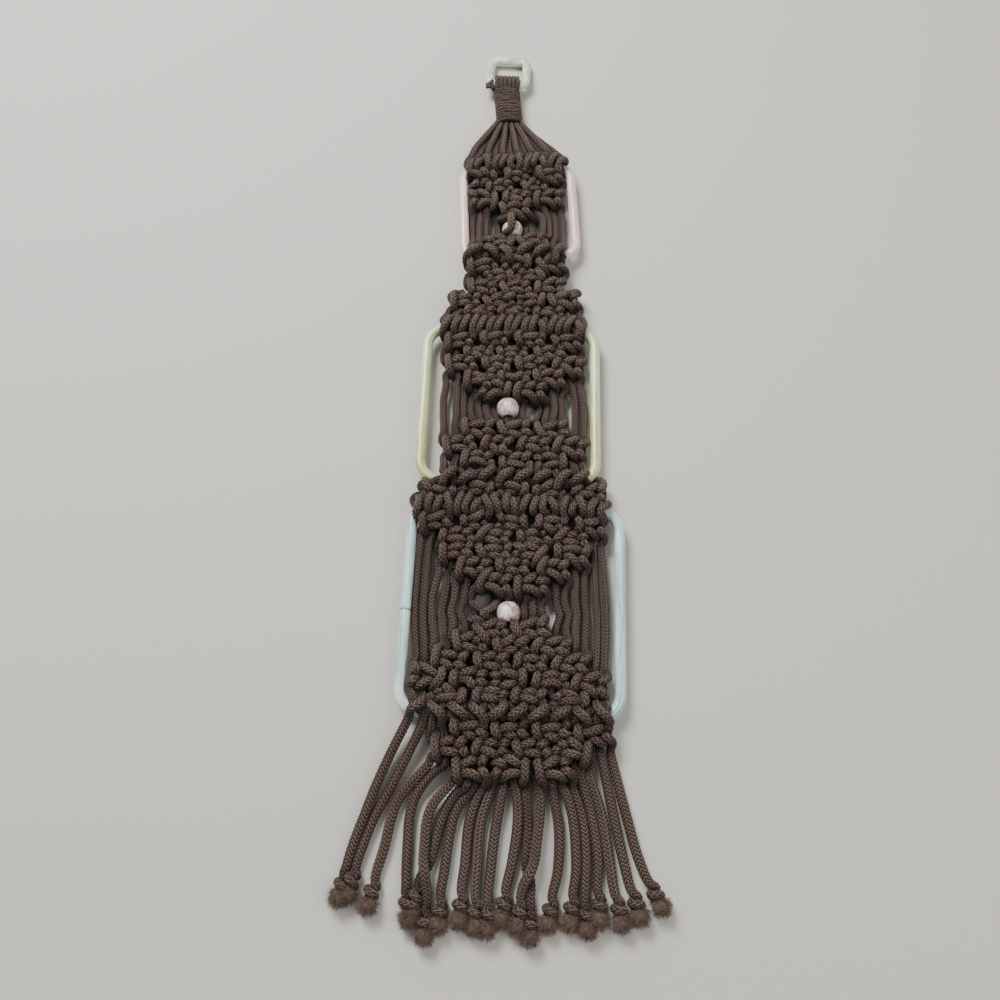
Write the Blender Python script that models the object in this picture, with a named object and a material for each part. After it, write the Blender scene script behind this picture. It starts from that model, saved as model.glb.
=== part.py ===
"""A macrame wall hanging, lying flat and face up, in metres.

Knotted cord runs down from a small hanging ring through three square rings, each
larger than the one above, with a bead in every ring's window and a knotted fringe.
x runs across, y up the hanging to its hanging ring, and z out of its face. Inside this
script a place is given by x, from the hanging's centre line, and by its height, from
the tips of the fringe; the parent empty moves all of it to the middle of its outline.
"""
import math

import bmesh
import bpy
from mathutils import Matrix, Vector

# The middle of the hanging's outline, seen from the front.
MIDDLE_X = -0.0118
MIDDLE_HEIGHT = 0.4706

# Clearance between two pieces that touch.
GAP = 0.0003

# Plastic rings: tube thickness, and one row for each ring. A ring is placed by its
# centre, turned in its plane and tilted about the x axis, both in degrees.
TUBE = 0.0100
TUBE_SIDES = 12
RINGS = (
    # name, outer side, outer corner radius, x, height, z, turn, tilt
    ("hanging_ring", 0.0508, 0.0130, -0.0012, 0.9156, 0.0084, -4.0, -9.2),
    ("ring_small", 0.1270, 0.0220, 0.0089, 0.7150, 0.0125, 1.9, 0.0),
    ("ring_middle", 0.1778, 0.0260, -0.0020, 0.4850, 0.0125, -1.8, 0.0),
    ("ring_large", 0.2032, 0.0260, 0.0000, 0.2770, 0.0125, -2.4, 0.0),
)

# Beads, each on the cords that run down the middle of its window.
BEAD_RADIUS = 0.0110
BEAD_BORE_RADIUS = 0.0048
BEAD_Z = 0.0112
BEADS = (
    # name, x, height
    ("bead_top", 0.0020, 0.6930),
    ("bead_middle", -0.0037, 0.4795),
    ("bead_bottom", -0.0039, 0.2720),
)

# The net's centre line: how far it wanders sideways, and the slope of its rows.
SPINE = (
    # height, x, slope of the rows in degrees
    (0.8350, -0.0015, 0.0),
    (0.7735, 0.0056, 1.9),
    (0.6565, 0.0055, 1.9),
    (0.6100, 0.0045, 0.0),
    (0.5690, 0.0007, -1.8),
    (0.5000, 0.0024, -1.8),
    (0.4010, 0.0030, -1.8),
    (0.3736, -0.0018, -2.4),
    (0.3450, 0.0010, -2.4),
    (0.2000, -0.0040, -2.4),
    (0.1290, -0.0015, -1.0),
)

# Thickness of the knotted net, of the hitches over a ring's upper bar and of the
# plain cords in a window.
NET_TOP_Z = 0.0215
HITCH_TOP_Z = 0.0260
WINDOW_LOW_Z = 0.0050
WINDOW_TOP_Z = 0.0130
CHAMFER = 0.0025

# One row for each section of the net: the number of cords, their spacing in the net,
# and the hitches over the ring's upper bar (low and high edge, half of their width).
SECTIONS = (
    # name, cords, spacing, hitch low, hitch high, hitch half width
    ("net_top", 12, 0.00850, 0.7630, 0.7834, 0.0535),
    ("net_middle", 16, 0.00875, 0.5585, 0.5787, 0.0735),
    ("net_bottom", 20, 0.00875, 0.3630, 0.3823, 0.0940),
)

# Rows of the net above and below each window, from top to bottom. A row runs from its
# first cord over the given number of cords; a row of 12 cords holds three knots.
KNOT = 0.0153
ROWS = (
    # section, part, height, first cord, cords, depth
    ("net_top", "upper", 0.7600, 0, 12, KNOT),
    ("net_top", "upper", 0.7447, 1, 10, KNOT),
    ("net_top", "upper", 0.7294, 0, 12, KNOT),
    ("net_top", "upper", 0.7141, 2, 8, KNOT),
    ("net_top", "lower", 0.6695, 2, 8, KNOT),
    ("net_top", "lower", 0.6565, 0, 12, 0.0108),
    ("net_top", "lower", 0.6151, 0, 12, 0.0721),
    ("net_middle", "upper", 0.5500, 0, 16, 0.0230),
    ("net_middle", "upper", 0.5308, 1, 14, KNOT),
    ("net_middle", "upper", 0.5235, 0, 16, KNOT),
    ("net_middle", "upper", 0.5090, 2, 12, KNOT),
    ("net_middle", "upper", 0.4950, 4, 8, KNOT),
    ("net_middle", "lower", 0.4510, 2, 12, KNOT),
    ("net_middle", "lower", 0.4131, 0, 16, 0.0610),
    ("net_bottom", "upper", 0.3590, 0, 20, KNOT),
    ("net_bottom", "upper", 0.3430, 1, 18, KNOT),
    ("net_bottom", "upper", 0.3275, 1, 18, KNOT),
    ("net_bottom", "upper", 0.3120, 3, 14, KNOT),
    ("net_bottom", "upper", 0.2970, 5, 10, KNOT),
    ("net_bottom", "lower", 0.2560, 6, 8, KNOT),
    ("net_bottom", "lower", 0.2405, 4, 12, KNOT),
    ("net_bottom", "lower", 0.2250, 2, 16, KNOT),
    ("net_bottom", "lower", 0.1961, 0, 20, 0.0425),
    ("net_bottom", "lower", 0.1595, 2, 17, 0.0306),
    ("net_bottom", "lower", 0.1365, 4, 12, KNOT),
)

# Groups of plain cords in the windows: left and right edge.
STRIPS = (
    # section, left x, right x, upper end, lower end
    ("net_top", -0.0435, -0.0095, 0.7280, 0.6570),
    ("net_top", 0.0135, 0.0203, 0.7160, 0.6700),
    ("net_top", 0.0275, 0.0535, 0.7280, 0.6570),
    ("net_middle", -0.0655, -0.0160, 0.5200, 0.4400),
    ("net_middle", 0.0085, 0.0155, 0.4950, 0.4500),
    ("net_middle", 0.0225, 0.0705, 0.5200, 0.4400),
    ("net_bottom", -0.0880, -0.0425, 0.3230, 0.2150),
    ("net_bottom", -0.0375, -0.0220, 0.3050, 0.2500),
    ("net_bottom", 0.0095, 0.0325, 0.3000, 0.2500),
    ("net_bottom", 0.0390, 0.0860, 0.3150, 0.2200),
)

# The cord through each bead, from the knots above it to the knots below.
CORE_RADIUS = 0.0043
CORES = (
    # section, x, upper end, lower end
    ("net_top", 0.0020, 0.7120, 0.6720),
    ("net_middle", -0.0037, 0.4960, 0.4540),
    ("net_bottom", -0.0039, 0.2930, 0.2560),
)

# Cords that join the net beside the upper bars of the two lower rings: a sloping
# shoulder on each side, from its inner top corner to its outer end on the bar.
SHOULDER_TOP_Z = 0.0180
SHOULDERS = (
    # section, inner x, top x, outer x, top height, outer height, foot height
    ("net_middle", -0.0500, -0.0560, -0.0735, 0.6060, 0.5780, 0.5680),
    ("net_middle", 0.0557, 0.0615, 0.0745, 0.6060, 0.5780, 0.5680),
    ("net_bottom", -0.0712, -0.0770, -0.0955, 0.4050, 0.3820, 0.3740),
    ("net_bottom", 0.0746, 0.0790, 0.0915, 0.4000, 0.3800, 0.3720),
)

# The largest holes between two knots of a row: section, x and height.
HOLE_RADIUS = 0.0046
HOLE_SIDES = 8
HOLES = (
    ("net_top", -0.0115, 0.7600),
    ("net_top", 0.0225, 0.7600),
    ("net_top", 0.0055, 0.7447),
    ("net_top", -0.0140, 0.5870),
    ("net_top", 0.0200, 0.5870),
    ("net_middle", -0.0335, 0.5500),
    ("net_middle", 0.0015, 0.5490),
    ("net_middle", 0.0365, 0.5480),
    ("net_bottom", -0.0525, 0.3560),
    ("net_bottom", -0.0170, 0.3550),
    ("net_bottom", 0.0185, 0.3540),
    ("net_bottom", 0.0540, 0.3530),
)

# Neck: the flat bundle of cords, the gathering cord around it, the loops over the
# hanging ring's lower bar, and the gathering cord's knotted end on the ring's corner.
NECK_X = -0.0033
NECK_TOP = 0.8852
NECK_LOW = 0.8350
BUNDLE_HALF_WIDTH = 0.0103
BUNDLE_LOW_Z = 0.0050
BUNDLE_TOP_Z = 0.0176
WRAP_HALF_WIDTH = 0.0152
WRAP_TOP_Z = 0.0222
LOOPS_X = -0.0026
LOOPS_HALF_WIDTH = 0.0135
LOOPS_HEIGHT = 0.8955
LOOPS_Z = 0.0115
LOOPS_RADIUS = 0.0098
TAIL_X = -0.0235
TAIL_HEIGHT = 0.8975
TAIL_Z = 0.0115
TAIL_RADII = (0.0078, 0.0065, 0.0078)

# The fan below the neck: its thickness, its corners and the ends of its lower edge,
# which lies along the hitches.
FAN_LOW_Z = 0.0030
FAN_TOP_Z = 0.0190
FAN_LEFT = ((-0.0150, 0.8347), (-0.0440, 0.7960))
FAN_RIGHT = ((0.0560, 0.7920), (0.0125, 0.8347))
FAN_FOOT_ACROSS = (-0.0525, 0.0535)
FAN_FOOT_HEIGHT = 0.7838

# The fringe: one cord in each row, with the places that it passes, down to its knot.
FRINGE_CORD = 0.0080
FRINGE_BAND = 0.0050
FRINGE_BAND_LOW_Z = 0.0030
FRINGE_BAND_TOP_Z = 0.0160
END_KNOT_RADIUS = 0.0070
TUFT_RADIUS = 0.0100
TUFT_LENGTH = 0.0190
FRINGE = (
    # (x, height) at the net, at the upper bend, at the lower bend, at the knot
    ((-0.0885, 0.1720), (-0.1100, 0.1400), (-0.1243, 0.1050), (-0.1405, 0.0500)),
    ((-0.0800, 0.1710), (-0.1020, 0.1250), (-0.1215, 0.0950), (-0.1345, 0.0530)),
    ((-0.0760, 0.1500), (-0.0960, 0.1150), (-0.1110, 0.0700), (-0.1163, 0.0460)),
    ((-0.0660, 0.1410), (-0.0838, 0.1150), (-0.0895, 0.0800), (-0.0845, 0.0350)),
    ((-0.0570, 0.1330), (-0.0700, 0.1050), (-0.0728, 0.0600), (-0.0705, 0.0220)),
    ((-0.0480, 0.1260), (-0.0563, 0.1020), (-0.0663, 0.0750), (-0.0791, 0.0400)),
    ((-0.0374, 0.1260), (-0.0491, 0.1000), (-0.0566, 0.0550), (-0.0600, 0.0300)),
    ((-0.0290, 0.1260), (-0.0370, 0.0950), (-0.0405, 0.0600), (-0.0439, 0.0340)),
    ((-0.0205, 0.1260), (-0.0270, 0.0950), (-0.0300, 0.0600), (-0.0310, 0.0290)),
    ((-0.0120, 0.1260), (-0.0150, 0.0900), (-0.0200, 0.0550), (-0.0235, 0.0260)),
    ((-0.0020, 0.1260), (0.0032, 0.0950), (-0.0005, 0.0600), (-0.0070, 0.0310)),
    ((0.0090, 0.1260), (0.0125, 0.0900), (0.0120, 0.0500), (0.0110, 0.0190)),
    ((0.0190, 0.1260), (0.0220, 0.0980), (0.0165, 0.0650), (0.0155, 0.0260)),
    ((0.0290, 0.1260), (0.0372, 0.0900), (0.0364, 0.0550), (0.0294, 0.0250)),
    ((0.0390, 0.1260), (0.0500, 0.1000), (0.0530, 0.0600), (0.0455, 0.0270)),
    ((0.0480, 0.1260), (0.0550, 0.0950), (0.0575, 0.0550), (0.0595, 0.0210)),
    ((0.0575, 0.1350), (0.0640, 0.1000), (0.0690, 0.0650), (0.0682, 0.0300)),
    ((0.0660, 0.1400), (0.0720, 0.1000), (0.0780, 0.0600), (0.0835, 0.0240)),
    ((0.0740, 0.1480), (0.0810, 0.1050), (0.0890, 0.0600), (0.0970, 0.0280)),
    ((0.0810, 0.1560), (0.0920, 0.1050), (0.1022, 0.0600), (0.1150, 0.0350)),
)

# Colour, roughness and metallic value of each material.
CORD_BROWN = (0.090, 0.052, 0.036, 1.0), 0.85, 0.0
RING_PALE_GREEN = (0.74, 0.80, 0.66, 1.0), 0.30, 0.0
RING_PINK = (0.84, 0.71, 0.70, 1.0), 0.30, 0.0
RING_MINT = (0.74, 0.80, 0.76, 1.0), 0.30, 0.0
BEAD_PEARL = (0.72, 0.60, 0.56, 1.0), 0.25, 0.0


def spine_at(height):
    """The centre line's x and the rows' slope at a height."""
    if height >= SPINE[0][0]:
        return SPINE[0][1], math.tan(math.radians(SPINE[0][2]))
    for upper, lower in zip(SPINE, SPINE[1:]):
        if height >= lower[0]:
            share = (height - lower[0]) / (upper[0] - lower[0])
            x = lower[1] + share * (upper[1] - lower[1])
            angle = lower[2] + share * (upper[2] - lower[2])
            return x, math.tan(math.radians(angle))
    return SPINE[-1][1], math.tan(math.radians(SPINE[-1][2]))


def on_net(across, height):
    """A point of the net: across is measured from the centre line along a row."""
    x, slope = spine_at(height)
    return x + across, height + slope * across


def make_material(name, finish):
    """A plain Principled material from a colour, a roughness and a metallic value."""
    colour, roughness, metallic = finish
    material = bpy.data.materials.new(name)
    material.use_nodes = True
    shader = material.node_tree.nodes["Principled BSDF"]
    shader.inputs["Base Color"].default_value = colour
    shader.inputs["Roughness"].default_value = roughness
    shader.inputs["Metallic"].default_value = metallic
    material.diffuse_color = colour
    return material


def make_object(name, mesh_data):
    """A new object from a bmesh, with its faces turned outwards."""
    bmesh.ops.recalc_face_normals(mesh_data, faces=mesh_data.faces[:])
    mesh = bpy.data.meshes.new(name)
    mesh_data.to_mesh(mesh)
    mesh_data.free()
    piece = bpy.data.objects.new(name, mesh)
    bpy.context.scene.collection.objects.link(piece)
    return piece


def finish(piece, finish_values, parent, smooth):
    """Give a piece its own material and its parent, and shade it."""
    piece.data.materials.clear()
    piece.data.materials.append(make_material(piece.name, finish_values))
    piece.parent = parent
    if smooth:
        piece.data.shade_smooth()
        piece.data.set_sharp_from_angle(angle=math.radians(40.0))


def combine(piece, tools, operation):
    """Cut or join other objects into a piece, one after the other."""
    for tool in tools:
        modifier = piece.modifiers.new(operation, "BOOLEAN")
        modifier.operation = operation
        modifier.solver = "EXACT"
        modifier.object = tool
        bpy.context.view_layer.update()
        evaluated = piece.evaluated_get(bpy.context.evaluated_depsgraph_get())
        result = bpy.data.meshes.new_from_object(evaluated)
        piece.modifiers.clear()
        piece.data = result
        result.name = piece.name
        bpy.data.objects.remove(tool)


def slab(name, outline, low_z, top_z, chamfer):
    """A flat piece with the given outline and sloped edges along its top."""
    mesh_data = bmesh.new()
    corners = [mesh_data.verts.new((x, height, low_z)) for x, height in outline]
    base = mesh_data.faces.new(corners)
    grown = bmesh.ops.extrude_face_region(mesh_data, geom=[base])
    raised = [item for item in grown["geom"] if isinstance(item, bmesh.types.BMVert)]
    bmesh.ops.translate(mesh_data, verts=raised, vec=(0, 0, top_z - chamfer - low_z))
    top = next(item for item in grown["geom"] if isinstance(item, bmesh.types.BMFace))
    bmesh.ops.recalc_face_normals(mesh_data, faces=mesh_data.faces[:])
    bmesh.ops.inset_region(
        mesh_data, faces=[top], thickness=chamfer, depth=chamfer, use_even_offset=True
    )
    return make_object(name, mesh_data)


def loft(name, sections):
    """A solid through closed sections that all have the same number of points."""
    mesh_data = bmesh.new()
    rings = [[mesh_data.verts.new(point) for point in section] for section in sections]
    for ring, following in zip(rings, rings[1:]):
        count = len(ring)
        for index in range(count):
            after = (index + 1) % count
            corners = (ring[index], ring[after], following[after], following[index])
            mesh_data.faces.new(corners)
    mesh_data.faces.new(rings[0])
    mesh_data.faces.new(rings[-1])
    return make_object(name, mesh_data)


def polygon_section(centre, across, out, radius, sides):
    """Points of a regular polygon in the plane of two unit vectors."""
    angles = [math.tau * (index + 0.5) / sides for index in range(sides)]
    return [
        centre + radius * (math.cos(angle) * across + math.sin(angle) * out)
        for angle in angles
    ]


def rod(name, start, end, radius, sides):
    """A straight rod with a polygon's section between two points."""
    along = (end - start).normalized()
    out = Vector((0, 0, 1)) if abs(along.z) < 0.5 else Vector((1, 0, 0))
    across = along.cross(out)
    return loft(
        name,
        [
            polygon_section(start, across, out, radius, sides),
            polygon_section(end, across, out, radius, sides),
        ],
    )


def ring_path(side, corner, steps):
    """The centre line of a square ring with round corners, and its outward directions."""
    half = side / 2 - corner
    radius = corner - TUBE / 2
    path = []
    for quarter in range(4):
        start = quarter * math.pi / 2
        turned = start + math.pi / 4
        centre = Vector((math.cos(turned), math.sin(turned), 0)) * half * math.sqrt(2)
        for step in range(steps + 1):
            angle = start + math.pi / 2 * step / steps
            outward = Vector((math.cos(angle), math.sin(angle), 0))
            path.append((centre + radius * outward, outward))
    return path


def square_ring(row, extra=0.0, name=None):
    """A plastic ring from its row, or with extra radius as a cutter for its channel."""
    ring_name, side, corner, x, height, z, turn, tilt = row
    corner_steps = 6
    radius = TUBE / 2 + extra
    up = Vector((0, 0, 1))
    sections = [
        polygon_section(point, outward, up, radius, TUBE_SIDES)
        for point, outward in ring_path(side, corner, corner_steps)
    ]
    mesh_data = bmesh.new()
    rings = [[mesh_data.verts.new(point) for point in section] for section in sections]
    for ring, following in zip(rings, rings[1:] + rings[:1]):
        for index in range(TUBE_SIDES):
            after = (index + 1) % TUBE_SIDES
            corners = (ring[index], ring[after], following[after], following[index])
            mesh_data.faces.new(corners)
    turned = Matrix.Rotation(math.radians(turn), 4, "Z")
    tilted = Matrix.Rotation(math.radians(tilt), 4, "X")
    placed = Matrix.Translation((x, height, z)) @ tilted @ turned
    bmesh.ops.transform(mesh_data, matrix=placed, verts=mesh_data.verts[:])
    return make_object(name or ring_name, mesh_data)


def ring_cutters():
    """One cutter for the channel of each ring."""
    return [square_ring(row, GAP, "channel") for row in RINGS]


def bead(name, x, height):
    """A ball with a hole through it along y, turned from its half outline."""
    steps = 12
    turns = 24
    edge = math.asin(BEAD_BORE_RADIUS / BEAD_RADIUS)
    outline = []
    for step in range(steps + 1):
        angle = edge + (math.pi - 2 * edge) * step / steps
        outline.append((BEAD_RADIUS * math.sin(angle), BEAD_RADIUS * math.cos(angle)))
    mesh_data = bmesh.new()
    rings = []
    for radius, along in outline:
        ring = []
        for index in range(turns):
            angle = math.tau * index / turns
            spot = (x + radius * math.cos(angle), height + along)
            ring.append(mesh_data.verts.new((*spot, BEAD_Z + radius * math.sin(angle))))
        rings.append(ring)
    for ring, following in zip(rings, rings[1:] + rings[:1]):
        for index in range(turns):
            after = (index + 1) % turns
            corners = (ring[index], ring[after], following[after], following[index])
            mesh_data.faces.new(corners)
    return make_object(name, mesh_data)


def bead_cutter(x, height):
    """A ball that leaves a bead its clearance."""
    mesh_data = bmesh.new()
    bmesh.ops.create_uvsphere(
        mesh_data, u_segments=16, v_segments=12, radius=BEAD_RADIUS + 2 * GAP
    )
    bmesh.ops.translate(mesh_data, verts=mesh_data.verts[:], vec=(x, height, BEAD_Z))
    return make_object("bead space", mesh_data)


def row_outline(section_row, part):
    """The stepped outline of the knot rows above or below a section's window."""
    section, cords, spacing = section_row[:3]
    left, right = [], []
    for row_section, row_part, height, first, count, depth in ROWS:
        if (row_section, row_part) != (section, part):
            continue
        left_across = (first - cords / 2) * spacing
        right_across = (first + count - cords / 2) * spacing
        for edge in (height + depth / 2, height - depth / 2):
            left.append((left_across, edge))
            right.append((right_across, edge))
    outline = []
    for across, height in left + right[::-1]:
        place = on_net(across, height)
        crowded = any((Vector(place) - Vector(other)).length < GAP for other in outline)
        if not crowded:
            outline.append(place)
    return outline


def hitch_outline(low, high, half_width):
    """The outline of the hitches over a ring's upper bar."""
    corners = (
        (-half_width, high), (-half_width, low), (half_width, low), (half_width, high)
    )
    return [on_net(across, height) for across, height in corners]


def shoulder(row):
    """The sloping cords that join the net beside a ring's upper bar."""
    inner, top, outer, top_height, outer_height, foot = row[1:]
    outline = [
        (inner, top_height), (top, top_height), (outer, outer_height),
        (outer, foot), (inner, foot),
    ]
    return slab("shoulder", outline, 0.0, SHOULDER_TOP_Z, CHAMFER)


def hole_cutter(x, height):
    """An upright prism through the net, for the hole between two knots."""
    low = Vector((x, height, -0.005))
    high = Vector((x, height, HITCH_TOP_Z + 0.005))
    return rod("hole", low, high, HOLE_RADIUS, HOLE_SIDES)


def window_strip(left, right, upper, lower):
    """A group of plain cords side by side in a window."""
    outline = [(left, upper), (left, lower), (right, lower), (right, upper)]
    return slab("strip", outline, WINDOW_LOW_Z, WINDOW_TOP_Z, CHAMFER)


def net_section(section_row):
    """One section of the net, with its window, channels, bead space and holes."""
    name = section_row[0]
    piece = slab(name, row_outline(section_row, "upper"), 0.0, NET_TOP_Z, CHAMFER)
    lower = slab("lower", row_outline(section_row, "lower"), 0.0, NET_TOP_Z, CHAMFER)
    hitches = slab("hitches", hitch_outline(*section_row[3:]), 0.0, HITCH_TOP_Z, CHAMFER)
    strips = [window_strip(*row[1:]) for row in STRIPS if row[0] == name]
    shoulders = [shoulder(row) for row in SHOULDERS if row[0] == name]
    combine(piece, [hitches, *shoulders, *strips, lower], "UNION")
    spaces = [bead_cutter(x, height) for _, x, height in BEADS]
    holes = [hole_cutter(x, height) for owner, x, height in HOLES if owner == name]
    combine(piece, spaces + holes + ring_cutters(), "DIFFERENCE")
    for owner, x, upper, low in CORES:
        if owner == name:
            start, end = Vector((x, upper, BEAD_Z)), Vector((x, low, BEAD_Z))
            combine(piece, [rod("core", start, end, CORE_RADIUS, 8)], "UNION")
    return piece


def fan_cords():
    """The loops over the hanging ring, the bundle in the neck and the fan below it."""
    left, right = NECK_X - BUNDLE_HALF_WIDTH, NECK_X + BUNDLE_HALF_WIDTH
    low, high = NECK_LOW - 0.004, LOOPS_HEIGHT - 0.004
    bundle = [(left, high), (left, low), (right, low), (right, high)]
    loops_start = Vector((LOOPS_X - LOOPS_HALF_WIDTH, LOOPS_HEIGHT, LOOPS_Z))
    loops_end = Vector((LOOPS_X + LOOPS_HALF_WIDTH, LOOPS_HEIGHT, LOOPS_Z))
    foot = tuple(on_net(across, FAN_FOOT_HEIGHT) for across in FAN_FOOT_ACROSS)
    outline = FAN_LEFT + foot + FAN_RIGHT
    piece = slab("fan_cords", outline, FAN_LOW_Z, FAN_TOP_Z, CHAMFER)
    neck = slab("neck", bundle, BUNDLE_LOW_Z, BUNDLE_TOP_Z, CHAMFER)
    loops = rod("loops", loops_start, loops_end, LOOPS_RADIUS, 12)
    combine(piece, [neck, loops], "UNION")
    combine(piece, ring_cutters(), "DIFFERENCE")
    return piece


def oval_outline(half_width, low_z, top_z, height):
    """An upright outline across the neck with its corners cut off."""
    cut = (top_z - low_z) * 0.3
    corners = (
        (half_width - cut, low_z), (half_width, low_z + cut),
        (half_width, top_z - cut), (half_width - cut, top_z),
    )
    points = [Vector((NECK_X + x, height, z)) for x, z in corners]
    points += [Vector((NECK_X - x, height, z)) for x, z in reversed(corners)]
    return points


def neck_wrap():
    """The sleeve of gathering cord around the bundle, flat where it lies."""
    outer = [
        oval_outline(WRAP_HALF_WIDTH, 0.0, WRAP_TOP_Z, height)
        for height in (NECK_TOP, NECK_LOW)
    ]
    piece = loft("neck_wrap", outer)
    left = NECK_X - BUNDLE_HALF_WIDTH - GAP
    right = NECK_X + BUNDLE_HALF_WIDTH + GAP
    outline = [
        (left, NECK_TOP + 0.004), (left, NECK_LOW - 0.004),
        (right, NECK_LOW - 0.004), (right, NECK_TOP + 0.004),
    ]
    bore = slab("bore", outline, BUNDLE_LOW_Z - GAP, BUNDLE_TOP_Z + GAP, CHAMFER)
    combine(piece, [bore], "DIFFERENCE")
    return piece


def wrap_tail():
    """The gathering cord's end, knotted round the hanging ring's lower corner."""
    mesh_data = bmesh.new()
    bmesh.ops.create_uvsphere(mesh_data, u_segments=16, v_segments=10, radius=1.0)
    bmesh.ops.scale(mesh_data, verts=mesh_data.verts[:], vec=TAIL_RADII)
    middle = (TAIL_X, TAIL_HEIGHT, TAIL_Z)
    bmesh.ops.translate(mesh_data, verts=mesh_data.verts[:], vec=middle)
    piece = make_object("wrap_tail", mesh_data)
    combine(piece, [square_ring(RINGS[0], GAP, "channel")], "DIFFERENCE")
    return piece


def net_lower_edge():
    """The stepped lower edge of the net, from left to right."""
    rows = [row for row in ROWS if row[:2] == ("net_bottom", "lower")][-3:]
    cords, spacing = SECTIONS[-1][1:3]
    left, right = [], []
    for index, (_, _, height, first, count, depth) in enumerate(rows):
        left_across = (first - cords / 2) * spacing
        right_across = (first + count - cords / 2) * spacing
        if index > 0:
            left.append((left_across, height + depth / 2))
            right.append((right_across, height + depth / 2))
        left.append((left_across, height - depth / 2))
        right.append((right_across, height - depth / 2))
    return left, right


def outside_net(distance):
    """The line at a distance below the net's stepped lower edge."""
    left, right = net_lower_edge()
    low = [(across - distance, height - distance) for across, height in left]
    high = [(across + distance, height - distance) for across, height in right]
    return [on_net(across, height) for across, height in low + high[::-1]]


def fringe_band():
    """The comb's back: a band along the net's lower edge, where the cords leave it."""
    outline = outside_net(2 * GAP) + outside_net(FRINGE_BAND)[::-1]
    return slab("fringe", outline, FRINGE_BAND_LOW_Z, FRINGE_BAND_TOP_Z, 0.0015)


def net_space():
    """The space that the fringe leaves to the net."""
    edge = outside_net(2 * GAP)
    closed = [(edge[0][0], 0.2), *edge, (edge[-1][0], 0.2)]
    return slab("space", closed, -0.005, HITCH_TOP_Z + 0.005, GAP)


def flat_section(centre, along, half_width, tall):
    """Eight points of a cord's section, with a flat foot on the surface below."""
    across = Vector((along.y, -along.x, 0))
    shape = (
        (-0.6, 0.0), (0.6, 0.0), (1.0, 0.3), (1.0, 0.65),
        (0.55, 1.0), (-0.55, 1.0), (-1.0, 0.65), (-1.0, 0.3),
    )
    foot = Vector((centre.x, centre.y, 0))
    return [foot + across * half_width * x + Vector((0, 0, tall * z)) for x, z in shape]


def fringe_tooth(row):
    """One cord of the fringe with its end knot and its brushed-out tuft."""
    points = [Vector((x, height, 0)) for x, height in row]
    half = FRINGE_CORD / 2
    down = Vector((0, -1, 0))
    last = (points[3] - points[2]).normalized()
    stations = [
        (points[0], down, half, FRINGE_CORD * 1.35),
        (points[1], (points[2] - points[0]).normalized(), half, FRINGE_CORD),
        (points[2], (points[3] - points[1]).normalized(), half, FRINGE_CORD),
        (points[3] - last * END_KNOT_RADIUS, last, half * 1.1, FRINGE_CORD * 1.1),
        (points[3] - last * 0.002, last, END_KNOT_RADIUS, END_KNOT_RADIUS * 2),
        (points[3] + last * 0.004, last, END_KNOT_RADIUS * 0.9, END_KNOT_RADIUS * 1.7),
        (points[3] + last * 0.009, last, TUFT_RADIUS, TUFT_RADIUS * 1.6),
        (points[3] + last * 0.015, last, TUFT_RADIUS * 0.9, TUFT_RADIUS * 1.4),
        (points[3] + last * TUFT_LENGTH, last, TUFT_RADIUS * 0.5, TUFT_RADIUS * 0.8),
    ]
    return loft("tooth", [flat_section(*station) for station in stations])


def fringe():
    """The fringe as one comb."""
    piece = fringe_band()
    combine(piece, [fringe_tooth(row) for row in FRINGE], "UNION")
    combine(piece, [net_space()], "DIFFERENCE")
    return piece


def main():
    for old in list(bpy.data.objects):
        bpy.data.objects.remove(old)
    hanging = bpy.data.objects.new("hanging", None)
    hanging.location = (-MIDDLE_X, -MIDDLE_HEIGHT, 0.0)
    bpy.context.scene.collection.objects.link(hanging)

    ring_finishes = (RING_PALE_GREEN, RING_PINK, RING_PALE_GREEN, RING_MINT)
    for row, values in zip(RINGS, ring_finishes):
        finish(square_ring(row), values, hanging, smooth=True)
    for row in BEADS:
        finish(bead(*row), BEAD_PEARL, hanging, smooth=True)
    soft_pieces = [fan_cords(), neck_wrap(), wrap_tail()]
    soft_pieces += [net_section(row) for row in SECTIONS]
    soft_pieces.append(fringe())
    for piece in soft_pieces:
        finish(piece, CORD_BROWN, hanging, smooth=False)


main()
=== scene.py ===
"""The looks of a knotted wall hanging: cords, knots, rings, beads and brushed ends.

Every cord is one route from the hanging ring, or from the shoulder where it joins the
net, down through hitches, square knots and windows to its end knot and its tuft. Unless
it says otherwise, a table below is in millimetres on the hanging's own plan: x from its
centre line, height from the tips of its fringe, and z up from the surface it lies on.
"""
import math
import random

import bmesh
import bpy
import numpy as np
from bpy.props import FloatProperty, FloatVectorProperty, IntProperty, PointerProperty
from mathutils import Matrix, Vector
from mathutils.kdtree import KDTree


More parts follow.
